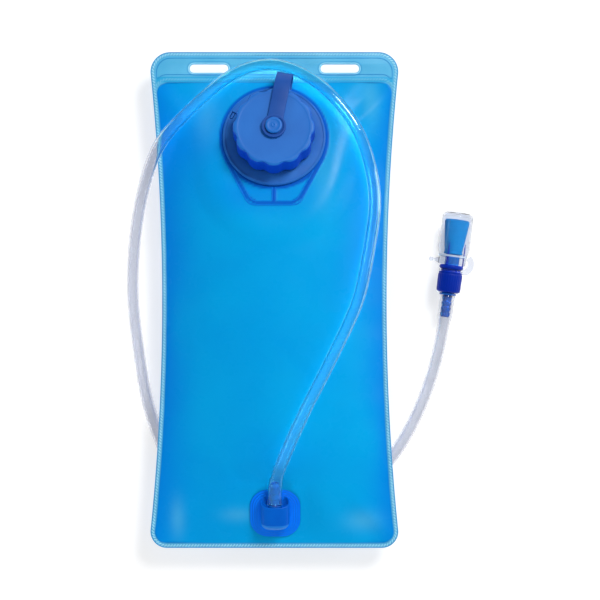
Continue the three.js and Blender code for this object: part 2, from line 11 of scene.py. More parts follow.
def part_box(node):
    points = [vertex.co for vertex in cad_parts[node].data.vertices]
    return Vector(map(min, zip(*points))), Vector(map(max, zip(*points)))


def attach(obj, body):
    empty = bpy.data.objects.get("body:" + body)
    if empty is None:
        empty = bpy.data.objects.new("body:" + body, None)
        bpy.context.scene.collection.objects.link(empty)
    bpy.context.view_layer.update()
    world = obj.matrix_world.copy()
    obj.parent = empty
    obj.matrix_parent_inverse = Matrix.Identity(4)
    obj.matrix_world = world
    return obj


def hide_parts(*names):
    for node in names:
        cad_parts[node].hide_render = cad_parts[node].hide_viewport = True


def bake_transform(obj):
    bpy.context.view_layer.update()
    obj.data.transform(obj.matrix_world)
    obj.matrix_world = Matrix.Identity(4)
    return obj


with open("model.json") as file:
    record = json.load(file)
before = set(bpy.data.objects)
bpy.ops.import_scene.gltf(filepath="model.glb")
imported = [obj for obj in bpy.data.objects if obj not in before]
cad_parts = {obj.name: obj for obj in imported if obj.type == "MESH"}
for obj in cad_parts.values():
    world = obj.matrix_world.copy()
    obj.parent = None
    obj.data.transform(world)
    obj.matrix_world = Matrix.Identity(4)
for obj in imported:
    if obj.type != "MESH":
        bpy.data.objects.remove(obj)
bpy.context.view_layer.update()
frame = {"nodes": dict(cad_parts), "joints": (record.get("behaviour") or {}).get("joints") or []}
MM = 0.001
TAU = 2 * math.pi


def put(name, data):
    """New object in the scene, with its data."""
    thing = bpy.data.objects.new(name, data)
    bpy.context.scene.collection.objects.link(thing)
    return thing


# ---------------- camera, matching the flat-lay view
CAMERA_HEIGHT = 1.322
CAMERA_X = 0.0186
LENS_MM = 107.4

camera_data = bpy.data.cameras.new("camera")
camera_data.lens = LENS_MM
camera_data.sensor_width = 36
camera_data.clip_end = 20
camera = put("camera", camera_data)
camera.location = (CAMERA_X, 0, CAMERA_HEIGHT)
bpy.context.scene.camera = camera


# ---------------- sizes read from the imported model, in mm
def box_mm(node):
    low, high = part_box(node)
    return np.array(low) / MM, np.array(high) / MM


def joint_matrix(name):
    """Frame at a hinge, in mm: z along its axis, x as near the world's as that allows."""
    joint = next(j for j in frame["joints"] if j["name"] == name)
    z_axis = Vector(joint["axis"]).normalized()
    x_axis = Vector((1, 0, 0))
    x_axis = (x_axis - x_axis.project(z_axis)).normalized()
    matrix = Matrix((x_axis, z_axis.cross(x_axis), z_axis)).transposed().to_4x4()
    matrix.translation = Vector(joint["pos_m"]) / MM
    return matrix


STRIP_LOW, STRIP_HIGH = box_mm("hang_strip")
SEAM_Z = (STRIP_LOW[2] + STRIP_HIGH[2]) / 2
HALF_WIDTH = STRIP_HIGH[0]
HALF_HEIGHT = STRIP_HIGH[1]
NECK = joint_matrix("cap_turn")
VALVE = joint_matrix("valve_twist")
NECK_TILT = math.atan2(NECK[1][2], NECK[2][2])
OUTLET_TILT = math.radians(16)
OUTLET_SIDE = 36.4
FLANGE_LOW, FLANGE_HIGH = box_mm("outlet_flange")
PLATE_BASE = 0.8
OUTLET = Matrix.Translation((
    (FLANGE_LOW[0] + FLANGE_HIGH[0]) / 2,
    -153.5,
    FLANGE_LOW[2] + OUTLET_SIDE / 2 * math.sin(OUTLET_TILT) - PLATE_BASE * math.cos(OUTLET_TILT),
)) @ Matrix.Rotation(OUTLET_TILT, 4, "X")
BORE_HEIGHT = 8.3

HALF_WAIST = 81.5
TOP_CORNER = 14.5
BOTTOM_CORNER = 12
WELD = 3.5
FILM = 0.5
CHAMBER_BOTTOM = -HALF_HEIGHT + WELD
CHAMBER_TOP = STRIP_LOW[1]
CHAMBER_CORNER = 8.5
SIDE_FOOT = -HALF_HEIGHT + BOTTOM_CORNER
SIDE_HEAD = HALF_HEIGHT - TOP_CORNER
HANG_WELD = 4.2
SLOT_X = 47.5
SLOT_Y = 168
SLOT_LENGTH = 28
SLOT_WIDTH = 6


# ---------------- mesh helpers
def new_mesh(name, vertices, faces, matrix=None, smooth=True):
    """Object from vertices in mm, placed by a matrix in mm."""
    points = np.asarray(vertices, float).reshape(-1, 3)
    if matrix is not None:
        turn = np.array(matrix.to_3x3())
        points = points @ turn.T + np.array(matrix.translation)
    mesh = bpy.data.meshes.new(name)
    mesh.from_pydata((points * MM).tolist(), [], faces)
    mesh.update()
    if smooth:
        mesh.shade_smooth()
    return put(name, mesh)


def tidy_normals(piece):
    work = bmesh.new()
    work.from_mesh(piece.data)
    bmesh.ops.remove_doubles(work, verts=work.verts, dist=1e-7)
    bmesh.ops.recalc_face_normals(work, faces=work.faces)
    work.to_mesh(piece.data)
    work.free()


def join(name, pieces):
    """One object out of several; the first one's materials lead."""
    lead = pieces[0]
    with bpy.context.temp_override(
        active_object=lead, selected_editable_objects=pieces, selected_objects=pieces, object=lead
    ):
        bpy.ops.object.join()
    lead.name = name
    lead.data.name = name
    return lead


def quadratic(start, control, end, steps):
    """Points of a curve that leaves start towards control and reaches end, without start itself."""
    return [
        tuple(Vector(start) * (1 - t) ** 2 + Vector(control) * 2 * t * (1 - t) + Vector(end) * t ** 2)
        for t in (k / steps for k in range(1, steps + 1))
    ]


def filleted(profile, radius, steps=3):
    """Rounds the corners of a 2D outline. A corner may carry its own radius as a third number."""
    result = []
    for i, corner in enumerate(profile):
        here = Vector(corner[:2])
        size = corner[2] if len(corner) > 2 else radius
        if size <= 0:
            result.append(tuple(here))
            continue
        before = Vector(profile[i - 1][:2]) - here
        after = Vector(profile[(i + 1) % len(profile)][:2]) - here
        size = min(size, before.length * 0.45, after.length * 0.45)
        start = here + before.normalized() * size
        end = here + after.normalized() * size
        result += [tuple(start), *quadratic(start, here, end, steps)]
    return result


def loft(name, rings, capped=False, loop=False, matrix=None):
    """Skin over closed rings of equal point counts. Its ends are capped, or joined to each other by loop."""
    count = len(rings[0])
    vertices = [p for ring in rings for p in ring]
    faces = []
    ring_count = len(rings)
    for i in range(ring_count if loop else ring_count - 1):
        here = i * count
        there = (i + 1) % ring_count * count
        for k in range(count):
            beside = (k + 1) % count
            faces.append((here + k, here + beside, there + beside, there + k))
    for i in (0, ring_count - 1) if capped else ():
        centre = len(vertices)
        vertices.append(tuple(np.mean(rings[i], axis=0)))
        faces += [(i * count + (k + 1) % count, i * count + k, centre) for k in range(count)]
    piece = new_mesh(name, vertices, faces, matrix)
    tidy_normals(piece)
    return piece


def in_short_steps(profile, longest):
    """The closed outline with points added, so that no step is much longer than asked."""
    dense = []
    for here, following in zip(profile, profile[1:] + profile[:1]):
        pieces = max(1, int(math.dist(here, following) / longest))
        dense += [tuple(Vector(here).lerp(Vector(following), k / pieces)) for k in range(pieces)]
    return dense


def lathe(name, profile, matrix, segments, wave=None, loop=True):
    """Turns [radius, height] points about z. wave(angle, radius, height) adds to the radius."""
    rings = []
    for radius, height in profile:
        ring = []
        for k in range(segments):
            angle = k / segments * TAU
            r = max(0, radius + (wave(angle, radius, height) if wave else 0))
            ring.append((r * math.cos(angle), r * math.sin(angle), height))
        rings.append(ring)
    return loft(name, rings, loop=loop, matrix=matrix)


def flat_plate(name, outline, holes, bottom, top, bevel, matrix=None):
    """Plate with rounded edges and holes, from 2D outlines in mm."""
    curve = bpy.data.curves.new(name, "CURVE")
    curve.dimensions = "2D"
    curve.fill_mode = "BOTH"
    curve.extrude = ((top - bottom) / 2 - bevel) * MM
    curve.bevel_depth = bevel * MM
    curve.bevel_resolution = 2
    curve.offset = -bevel * MM
    for loop in [outline, *holes]:
        spline = curve.splines.new("POLY")
        spline.points.add(len(loop) - 1)
        for point, (x, y) in zip(spline.points, loop):
            point.co = (x * MM, y * MM, 0, 1)
        spline.use_cyclic_u = True
    holder = put(name, curve)
    bpy.context.view_layer.update()
    mesh = bpy.data.meshes.new_from_object(holder.evaluated_get(bpy.context.evaluated_depsgraph_get()))
    bpy.data.objects.remove(holder)
    mesh.transform(Matrix.Translation((0, 0, (bottom + top) / 2 * MM)))
    if matrix is not None:
        in_metres = matrix.copy()
        in_metres.translation = matrix.translation * MM
        mesh.transform(in_metres)
    piece = put(name, mesh)
    tidy_normals(piece)
    mesh.shade_smooth()
    mesh.set_sharp_from_angle(angle=math.radians(50))
    return piece


def arc(centre, radius, start, end, steps):
    return [
        (centre[0] + radius * math.cos(start + (end - start) * k / steps),
         centre[1] + radius * math.sin(start + (end - start) * k / steps))
        for k in range(steps + 1)
    ]


def rounded_box(half_x, half_y, corner, steps=12):
    quarter = math.pi / 2
    points = []
    for i, (x_sign, y_sign) in enumerate(((1, 1), (-1, 1), (-1, -1), (1, -1))):
        centre = (x_sign * (half_x - corner), y_sign * (half_y - corner))
        points += arc(centre, corner, i * quarter, (i + 1) * quarter, steps)
    return points


def sweep_frames(points):
    """Directions across a line of points that turn as little as they can: side and up for each point."""
    tangents = np.gradient(points, axis=0)
    tangents /= np.linalg.norm(tangents, axis=1)[:, None]
    up = np.array([0.0, 0.0, 1.0]) if abs(tangents[0][2]) < 0.9 else np.array([0.0, 1.0, 0.0])
    frames = []
    for tangent in tangents:
        up = up - tangent * np.dot(up, tangent)
        up /= np.linalg.norm(up)
        frames.append((np.cross(up, tangent), up))
    return frames


def carried(point, across, section):
    """A 2D section's points set round a point of a line, across the line."""
    side, up = across
    return [tuple(point + side * a + up * b) for a, b in section]


def sweep(name, points, section_at, matrix):
    """Skin of a 2D section carried along points. section_at(i) gives (side, up) pairs."""
    points = np.asarray(points, float)
    steps = enumerate(zip(points, sweep_frames(points)))
    rings = [carried(point, across, section_at(i)) for i, (point, across) in steps]
    return loft(name, rings, capped=True, matrix=matrix)


def raised(points, level=0.0):
    """2D points as places at a level."""
    return np.array([(*p, level) for p in points], float)


def circle(radius, steps):
    return [(radius * math.cos(k / steps * TAU), radius * math.sin(k / steps * TAU)) for k in range(steps)]


def centripetal(points, per_span):
    """Centripetal Catmull-Rom line through the points, as the CAD hose uses."""
    points = [np.array(p, float) for p in points]
    points = [2 * points[0] - points[1], *points, 2 * points[-1] - points[-2]]
    line = []
    for i in range(1, len(points) - 2):
        p0, p1, p2, p3 = points[i - 1:i + 3]
        d0, d1, d2 = (max(np.linalg.norm(b - a) ** 0.5, 1e-4) for a, b in ((p0, p1), (p1, p2), (p2, p3)))
        slope1 = ((p1 - p0) / d0 - (p2 - p0) / (d0 + d1) + (p2 - p1) / d1) * d1
        slope2 = ((p2 - p1) / d1 - (p3 - p1) / (d1 + d2) + (p3 - p2) / d2) * d1
        for k in range(per_span):
            t = k / per_span
            line.append(
                p1 * (2 * t ** 3 - 3 * t ** 2 + 1) + slope1 * (t ** 3 - 2 * t ** 2 + t)
                + p2 * (3 * t ** 2 - 2 * t ** 3) + slope2 * (t ** 3 - t ** 2)
            )
    line.append(points[-2])
    return np.array(line)


def evenly(line, step):
    """The same line with points a step apart."""
    lengths = np.concatenate([[0], np.cumsum(np.linalg.norm(np.diff(line, axis=0), axis=1))])
    count = max(2, round(lengths[-1] / step) + 1)
    where = np.linspace(0, lengths[-1], count)
    return np.stack([np.interp(where, lengths, line[:, axis]) for axis in range(3)], axis=1)


def eased(line, reach):
    """The same line with its bends spread out over a reach of points on each side, its ends kept."""
    eased_line = line.copy()
    for i in range(1, len(line) - 1):
        near = min(reach, i, len(line) - 1 - i)
        eased_line[i] = line[i - near:i + near + 1].mean(axis=0)
    return eased_line


# ---------------- materials
def srgb(red, green, blue):
    def linear(value):
        value /= 255
        return value / 12.92 if value <= 0.04045 else ((value + 0.055) / 1.055) ** 2.4
    return (linear(red), linear(green), linear(blue), 1)


def grey(value):
    return (value, value, value, 1)


def base_material(name):
    material = bpy.data.materials.new(name)
    material.use_nodes = True
    return material, material.node_tree, material.node_tree.nodes["Principled BSDF"]


def feed(tree, node, inputs):
    """Gives each named input its value, or links it to its socket."""
    for label, value in inputs.items():
        if isinstance(value, bpy.types.NodeSocket):
            tree.links.new(value, node.inputs[label])
        else:
            node.inputs[label].default_value = value


def noise_node(tree, scale, detail, distortion=0.0):
    coordinates = tree.nodes.new("ShaderNodeTexCoord")
    texture = tree.nodes.new("ShaderNodeTexNoise")
    feed(tree, texture, {
        "Vector": coordinates.outputs["Object"], "Scale": scale, "Detail": detail, "Distortion": distortion,
    })
    return texture.outputs["Fac"]


def ramp_node(tree, source, low, high, low_colour, high_colour):
    ramp = tree.nodes.new("ShaderNodeValToRGB")
    ends = zip(ramp.color_ramp.elements, (low, high), (low_colour, high_colour))
    for element, position, colour in ends:
        element.position = position
        element.color = colour
    feed(tree, ramp, {"Fac": source})
    return ramp.outputs["Color"]


def mix_node(tree, place, colour_a, colour_b):
    """Colour that goes from a to b where the attribute named place goes from 0 to 1."""
    attribute = tree.nodes.new("ShaderNodeAttribute")
    attribute.attribute_name = place
    mix = tree.nodes.new("ShaderNodeMix")
    mix.data_type = "RGBA"
    feed(tree, mix, {"Factor": attribute.outputs["Fac"], "A": colour_a, "B": colour_b})
    return mix.outputs["Result"]


def bump_node(tree, scale, strength, distance_mm, distortion=0.0, under=None):
    """Bumps from a noise, laid over those of another bump node if one is given."""
    bump = tree.nodes.new("ShaderNodeBump")
    height = noise_node(tree, scale, 2, distortion)
    feed(tree, bump, {"Strength": strength, "Distance": distance_mm * MM, "Height": height})
    if under:
        feed(tree, bump, {"Normal": under})
    return bump.outputs["Normal"]


def moulded(name, colour, dark, roughness, specular, grain, grain_scale=900, alpha=1.0):
    """Moulded plastic or rubber: faint cloudy colour, fine grain, uneven gloss."""
    material, tree, shader = base_material(name)
    cloud = noise_node(tree, 45, 3)
    gloss = noise_node(tree, 160, 3)
    feed(tree, shader, {
        "Base Color": ramp_node(tree, cloud, 0.3, 0.7, srgb(*dark), srgb(*colour)),
        "Roughness": ramp_node(tree, gloss, 0.25, 0.75, grey(roughness - 0.06), grey(roughness + 0.08)),
        "Normal": bump_node(tree, grain_scale, grain, 0.08),
        "Specular IOR Level": specular,
        "Alpha": alpha,
    })
    return material


def film_material(name, middle, deep, side, alpha, roughness=0.3):
    """Soft blue film: deeper blue towards the side welds and in patches, partly its own colour and partly
    painted shade; painted highlights; faint haze, fine orange peel.
    """
    material, tree, shader = base_material(name)
    tint = ramp_node(tree, noise_node(tree, 14, 4, 0.3), 0.3, 0.72, srgb(*deep), srgb(*middle))
    for place, colour in (("side_band_and_shade", side), ("pale", (110, 206, 240)), ("backed", (0, 98, 208))):
        tint = mix_node(tree, place, tint, srgb(*colour))
    gloss = noise_node(tree, 60, 3)
    feed(tree, shader, {
        "Base Color": tint,
        "Roughness": ramp_node(tree, gloss, 0.3, 0.7, grey(roughness - 0.05), grey(roughness + 0.05)),
        "Normal": bump_node(tree, 1500, 0.10, 0.05, under=bump_node(tree, 90, 0.12, 0.5, 0.2)),
        "Specular IOR Level": 0.1,
        "Alpha": alpha,
    })
    return material


def clear_material(name, colour, ior, roughness, frost_scale, frost, coat=0.0, bag_bounce_blue=None):
    """Clear soft plastic, a little milky, with painted blue bounce light from the bag where it lies on the bag.
    Lamps shine through it.
    """
    material, tree, shader = base_material(name)
    clearest = srgb(*colour)
    milky = [c * 0.97 for c in clearest[:3]] + [1]
    tint = ramp_node(tree, noise_node(tree, 70, 3), 0.3, 0.7, milky, clearest)
    if bag_bounce_blue:
        tint = mix_node(tree, "painted_bag_bounce", tint, srgb(*bag_bounce_blue))
    gloss = noise_node(tree, 120, 2)
    smoothest = max(0.02, roughness - 0.03)
    feed(tree, shader, {
        "Base Color": tint,
        "Roughness": ramp_node(tree, gloss, 0.3, 0.7, grey(smoothest), grey(roughness + 0.03)),
        "Normal": bump_node(tree, frost_scale, frost, 0.06),
        "Transmission Weight": 0.995,
        "IOR": ior,
        "Coat Weight": coat,
        "Coat Roughness": 0.06,
    })
    through = tree.nodes.new("ShaderNodeBsdfTransparent")
    through.inputs["Color"].default_value = grey(0.96)
    rays = tree.nodes.new("ShaderNodeLightPath")
    choose = tree.nodes.new("ShaderNodeMixShader")
    feed(tree, choose, {
        "Fac": rays.outputs["Is Shadow Ray"], 1: shader.outputs["BSDF"], 2: through.outputs["BSDF"],
    })
    feed(tree, tree.nodes["Material Output"], {"Surface": choose.outputs["Shader"]})
    return material


FRONT_FILM = film_material("front_film_blue", (2, 176, 240), (0, 164, 236), (0, 134, 236), 0.74, 0.28)
BACK_FILM = film_material("back_film_blue", (6, 160, 228), (0, 150, 222), (0, 112, 222), 0.97)
SEAM_FILM = moulded("seam_film_blue", (92, 184, 226), (78, 174, 220), 0.34, 0.25, 0.15, 1400, 0.93)
CROSS_BAND = moulded("cross_weld_blue", (54, 166, 216), (44, 158, 210), 0.34, 0.2, 0.15, 1400)
CROSS_DASH = moulded("cross_dash_blue", (112, 196, 230), (96, 186, 224), 0.32, 0.25, 0.15, 1400)
WELD_DASH = moulded("weld_dash_blue", (166, 226, 248), (150, 216, 242), 0.32, 0.3, 0.15, 1400)
GRIP_LINE = moulded("grip_line_blue", (0, 116, 214), (0, 108, 206), 0.4, 0.1, 0.12)
WELD_LINE = moulded("weld_line_blue", (36, 146, 208), (24, 132, 200), 0.4, 0.3, 0.15, 1400)
FITTING = moulded("fitting_blue", (0, 122, 246), (0, 112, 238), 0.36, 0.14, 0.12)
HOUSING = moulded("housing_blue", (0, 96, 202), (0, 86, 192), 0.36, 0.1, 0.08)
# lighter blue for the housing's rounded back end: painted highlight
HOUSING_END_HIGHLIGHT = moulded("housing_end_painted_highlight", (16, 122, 216), (10, 112, 206), 0.36, 0.2, 0.08)
BARB = moulded("barb_blue", (0, 88, 180), (0, 76, 168), 0.14, 0.9, 0.05)
TETHER = moulded("tether_blue", (22, 78, 160), (14, 68, 148), 0.5, 0.22, 0.3)
TETHER_RING = moulded("tether_ring_blue", (34, 108, 190), (26, 96, 178), 0.5, 0.22, 0.3)
CAP = moulded("cap_blue", (22, 106, 194), (16, 98, 186), 0.46, 0.3, 0.25, 1100)
# darker, deeper blue for the cap's sides and edge rounds: painted shade
CAP_SIDE_SHADE = moulded("cap_side_painted_shade", (0, 66, 190), (0, 58, 180), 0.42, 0.2, 0.25, 1100)
VALVE_BLUE = moulded("valve_dark_blue", (0, 44, 158), (0, 36, 146), 0.36, 0.12, 0.12)
HUB_BLUE = moulded("hub_blue", (14, 104, 184), (8, 94, 174), 0.4, 0.15, 0.1)
SILICONE = moulded("mouthpiece_silicone", (0, 124, 188), (0, 114, 178), 0.55, 0.1, 0.15)
FROST_RIB = moulded("cover_rib_frost", (214, 228, 242), (204, 220, 238), 0.3, 0.3, 0.1, 900, 0.55)
SEAL = moulded("seal_rubber", (40, 42, 48), (26, 28, 34), 0.6, 0.3, 0.3)
# the last colour is painted blue bounce light from the bag, on the hose where it lies over the bag
CLEAR_TUBE = clear_material("clear_tube", (222, 224, 231), 1.34, 0.05, 200, 0.004, 0.5, (164, 239, 248))
CLEAR_COVER = clear_material("frosted_cover", (228, 232, 240), 1.2, 0.1, 500, 0.04)


def paint(piece, label, values):
    """Stores one value for each vertex, for the material to read."""
    attribute = piece.data.attributes.new(label, "FLOAT", "POINT")
    attribute.data.foreach_set("value", np.asarray(values, np.float32).reshape(-1))


def dress(piece, material, body, slot, *nodes):
    """Material, body and stood-for nodes; the slot argument is not used. A piece to be blended between two
    bodies has body None.
    """
    piece.data.materials.clear()
    piece.data.materials.append(material)
    if body is not None:
        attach(piece, body)
    if nodes:
        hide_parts(*nodes)
    return piece


def second_colour(piece, material, chosen):
    """Gives the faces for which chosen(face) is true another material."""
    piece.data.materials.append(material)
    for face in piece.data.polygons:
        face.material_index = 1 if chosen(face) else 0
    return piece


def stretch(piece):
    """Bakes a strap's placement into its mesh."""
    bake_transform(piece)
    return piece


def axis_of(matrix, x, y, z):
    return matrix.to_3x3() @ Vector((x, y, z))


# ---------------- hose, on the CAD route
HOSE_RADIUS = 4.5
HOSE_BORE = 3.2
SWOLLEN_RADIUS = 5.4
SWOLLEN_BORE = 4.05
BARB_LENGTH = 16
SWELLING_START = BARB_LENGTH * 0.86
SWELLING_END = SWELLING_START + 9
FACE_GAP = 0.3
HOUSING_FRONT = 10
HOSE_EASING = 10
HOSE_SIDES = 40
HOSE_STEP = 1.2


def hose_line():
    outlet_axis = axis_of(OUTLET, 0, 1, 0)
    outlet_face = OUTLET @ Vector((0, HOUSING_FRONT + FACE_GAP, BORE_HEIGHT))
    valve_axis = axis_of(VALVE, 0, 0, 1)
    valve_face = VALVE.translation - valve_axis * FACE_GAP
    laid_m = [
        (0.0147, -0.095, 0.0525), (0.0225, -0.0777, 0.0545), (0.0363, -0.0511, 0.0525),
        (0.0527, -0.0178, 0.046), (0.0604, 0, 0.043), (0.0693, 0.0431, 0.0372),
        (0.0727, 0.0705, 0.0352), (0.0689, 0.0978, 0.0352), (0.0587, 0.1253, 0.0352),
        (0.0371, 0.1519, 0.032), (0.0186, 0.1648, 0.0289), (0.0005, 0.1707, 0.0282),
        (-0.0176, 0.1685, 0.0283), (-0.032, 0.1619, 0.0293), (-0.0499, 0.1472, 0.032),
        (-0.068, 0.1299, 0.0322), (-0.0833, 0.1122, 0.0296), (-0.0938, 0.0849, 0.023),
        (-0.1002, 0.0576, 0.016), (-0.1035, 0.0296, 0.0105), (-0.1043, 0.0015, 0.007),
        (-0.0995, -0.042, 0.005), (-0.0948, -0.0704, 0.0048), (-0.0885, -0.0913, 0.0048),
        (-0.0771, -0.1193, 0.0048), (-0.055, -0.1472, 0.0048), (-0.0256, -0.1619, 0.0048),
        (0.0076, -0.1634, 0.0048), (0.0407, -0.1531, 0.0048), (0.0664, -0.1362, 0.0048),
        (0.0871, -0.1145, 0.0048), (0.1028, -0.088, 0.0048), (0.114, -0.0598, 0.0065),
        (0.1208, -0.034, 0.0095),
    ]
    points = [outlet_face + outlet_axis * d for d in (0, 8, 16)]
    points += [Vector(p) / MM for p in laid_m]
    points += [valve_face - valve_axis * d for d in (16, 8, 0)]
    return evenly(eased(evenly(centripetal(points, 24), HOSE_STEP), HOSE_EASING), HOSE_STEP)


def smoothstep(value, low, high):
    t = np.clip((value - low) / (high - low), 0, 1)
    return t * t * (3 - 2 * t)


def make_hose():
    line = hose_line()
    step = np.linalg.norm(line[1] - line[0])
    outer = []
    inner = []
    for i, (point, across) in enumerate(zip(line, sweep_frames(line))):
        from_end = min(i, len(line) - 1 - i) * step
        share = 1 - smoothstep(from_end, SWELLING_START, SWELLING_END)
        flare = 0.35 * math.exp(-from_end / 1.2)
        radius = HOSE_RADIUS + (SWOLLEN_RADIUS - HOSE_RADIUS) * share + flare
        bore = HOSE_BORE + (SWOLLEN_BORE - HOSE_BORE) * share
        outer.append(carried(point, across, circle(radius, HOSE_SIDES)))
        inner.append(carried(point, across, circle(bore, HOSE_SIDES)))
    hose = loft("drinking_hose", outer + inner[::-1], loop=True)
    places = np.array([v.co for v in hose.data.vertices]) / MM
    inset = np.minimum(HALF_WAIST - np.abs(places[:, 0]), HALF_HEIGHT - np.abs(places[:, 1]))
    # where the hose lies over the bag: painted blue bounce light from the bag
    painted_bag_bounce = np.clip(inset / 8 + 0.5, 0, 1) * (places[:, 2] > SEAM_Z)
    paint(hose, "painted_bag_bounce", painted_bag_bounce)
    return dress(hose, CLEAR_TUBE, "bag", "clear_tube", "hose"), line


hose, HOSE_LINE = make_hose()


# ---------------- bag films
def half_width_at(y):
    middle = (SIDE_FOOT + SIDE_HEAD) / 2
    along = np.minimum(1, np.abs(y - middle) / ((SIDE_HEAD - SIDE_FOOT) / 2))
    return HALF_WAIST + (HALF_WIDTH - HALF_WAIST) * along ** 2


FRONT_RISE = 30
BACK_SAG = 26
CROWN_POWER = 2.6
NECK_Y = NECK.translation[1]
OUTLET_X = OUTLET.translation[0]
OUTLET_Y = OUTLET.translation[1]
CHAMBER_MIDDLE = (CHAMBER_BOTTOM + CHAMBER_TOP) / 2
CHAMBER_REACH = (CHAMBER_TOP - CHAMBER_BOTTOM) / 2


def fullness(x, y):
    across = np.minimum(1, np.abs(x) / (half_width_at(y) - WELD))
    along = np.minimum(1, np.abs(y - CHAMBER_MIDDLE) / CHAMBER_REACH)
    return (1 - across ** 2) * (1 - along ** CROWN_POWER)


def off_fittings(x, y):
    """0 on the flat seats of the neck and the outlet, 1 away from them: (neck, outlet)."""
    neck_distance = np.hypot(x, y - np.clip(y, 95, NECK_Y))
    outlet_distance = np.maximum(np.abs(x - OUTLET_X), np.abs(y - OUTLET_Y))
    return smoothstep(neck_distance, 34, 60), smoothstep(outlet_distance, 20, 44)


def front_height(x, y):
    dome = SEAM_Z + FRONT_RISE * fullness(x, y)
    off_neck, off_outlet = off_fittings(x, y)
    neck_plane = SEAM_Z + np.maximum(0, CHAMBER_TOP - y) * math.tan(NECK_TILT)
    outlet_plane = SEAM_Z + np.maximum(0, y - CHAMBER_BOTTOM) * math.tan(OUTLET_TILT)
    seated = neck_plane + (dome - neck_plane) * off_neck
    return FACE_GAP / 2 + outlet_plane + (seated - outlet_plane) * off_outlet


def back_height(x, y):
    seam = SEAM_Z - FACE_GAP / 2 - FILM
    return np.maximum(0, seam - BACK_SAG * fullness(x, y))


def puckers(x, y):
    """Shallow gathers along the side welds and soft folds that run in from the corners."""
    inset = half_width_at(y) - WELD - np.abs(x)
    reach = np.exp(-inset / 9) * (1 - np.exp(-inset / 2.5))
    gathers = np.sin(y / 6.1 + np.sign(x) * 1.3) + 0.6 * np.sin(y / 3.7 + 2.1 + np.sign(x))
    ends = np.minimum(CHAMBER_TOP - y, y - CHAMBER_BOTTOM)
    end_reach = np.exp(-ends / 9) * (1 - np.exp(-ends / 2.5))
    end_gathers = np.sin(x / 7.3 + 0.4) + 0.6 * np.sin(x / 4.1 + np.sign(y))
    lift = 0.30 * reach * gathers + 0.28 * end_reach * end_gathers
    for corner_x in (-1, 1):
        for corner_y, sign in ((CHAMBER_TOP, -1), (CHAMBER_BOTTOM, 1)):
            along = ((HALF_WIDTH - WELD - corner_x * x) + sign * (y - corner_y)) / math.sqrt(2)
            beside = ((HALF_WIDTH - WELD - corner_x * x) - sign * (y - corner_y)) / math.sqrt(2)
            fold = np.exp(-((beside + 3) / 5.5) ** 2) - 0.7 * np.exp(-((beside - 8) / 6.5) ** 2)
            lift += 1.1 * fold * np.exp(-((along - 26) / 20) ** 2)
    return lift


GRIP_WIDTH = 2.8
PLATE_RADIUS = 39.5
GRIP_FRAME = [(-35.2, -15), (-19.3, -45.2), (-12.6, -49.6), (12.6, -49.6), (19.3, -45.2), (35.2, -15)]
GRIP_RIB = [(0, -38), (0, -49.6)]


def grip_share(x, y):
    """1 where the neck plate and its grip frame lie under the front film, 0 away from them."""
    along = (y - NECK_Y) / math.cos(NECK_TILT)
    nearest = np.full_like(x, 99.0)
    for line in (GRIP_FRAME, GRIP_RIB):
        for (x0, y0), (x1, y1) in zip(line, line[1:]):
            length = math.hypot(x1 - x0, y1 - y0)
            ux, uy = (x1 - x0) / length, (y1 - y0) / length
            t = np.clip((x - x0) * ux + (along - y0) * uy, 0, length)
            nearest = np.minimum(nearest, np.hypot(x - x0 - ux * t, along - y0 - uy * t))
    from_plate = np.hypot(x, along) - PLATE_RADIUS
    frame_share = 1 - smoothstep(nearest, GRIP_WIDTH / 2 - 0.5, GRIP_WIDTH / 2 + 0.5)
    return np.maximum(frame_share, 1 - smoothstep(from_plate, -0.6, 0.8))


def film_grid(columns, rows):
    """Grid over the chamber, closer towards its edges, with rounded corners: x and y, row by row."""
    end_turn = math.pi / 2 * 0.93
    side_turn = math.pi / 2 * 0.8
    share = np.sin(np.linspace(-1, 1, rows) * end_turn) / math.sin(end_turn)
    y = CHAMBER_MIDDLE + CHAMBER_REACH * share
    from_end = np.minimum(y - CHAMBER_BOTTOM, CHAMBER_TOP - y)
    rise = np.clip(CHAMBER_CORNER - from_end, 0, CHAMBER_CORNER)
    cut = CHAMBER_CORNER - np.sqrt(np.maximum(0, CHAMBER_CORNER ** 2 - rise ** 2))
    reach = half_width_at(y) - WELD - cut
    u = np.sin(np.linspace(-1, 1, columns) * side_turn) / math.sin(side_turn)
    return np.outer(reach, u), np.repeat(y[:, None], columns, axis=1)


# places where the blue is deeper, partly painted shade: x, y, half width, half height, strength
DEEP_SHADE_PLACES = [
    (-54, 116, 24, 30, 0.5), (-66, 40, 14, 40, 0.2), (-66, -70, 12, 50, 0.15), (62, 70, 14, 40, 0.3),
    (-16, 76, 28, 14, 0.55), (16, 78, 18, 12, 0.3), (4, -112, 26, 16, 0.2),
]
# places where the film catches the light, in the same form
PALE_PLACES = [
    (-70, -158, 5, 13, 0.3), (-26, -155, 11, 5, 0.25), (64, -160, 12, 7, 0.3), (-49, 133, 8, 20, 0.2),
    (70, 145, 6, 16, 0.3), (36, 90, 7, 26, 0.15),
]


def patches(x, y, places):
    """Sum of soft round patches."""
    total = np.zeros_like(x)
    for place_x, place_y, half_x, half_y, strength in places:
        total += strength * np.exp(-((x - place_x) / half_x) ** 2 - ((y - place_y) / half_y) ** 2)
    return total


def side_shade(x, y):
    """How deep the blue looks, partly the film's own colour and partly painted shade: an uneven band along the
    side welds, and a few soft patches.
    """
    inset = np.minimum(half_width_at(y) - WELD - np.abs(x), 60)
    uneven = 13 + 4 * np.sin(y / 41 + np.sign(x)) + 2 * np.sin(y / 13)
    return np.minimum(0.75 * np.exp(-(inset / uneven) ** 1.6) + patches(x, y, DEEP_SHADE_PLACES), 1)


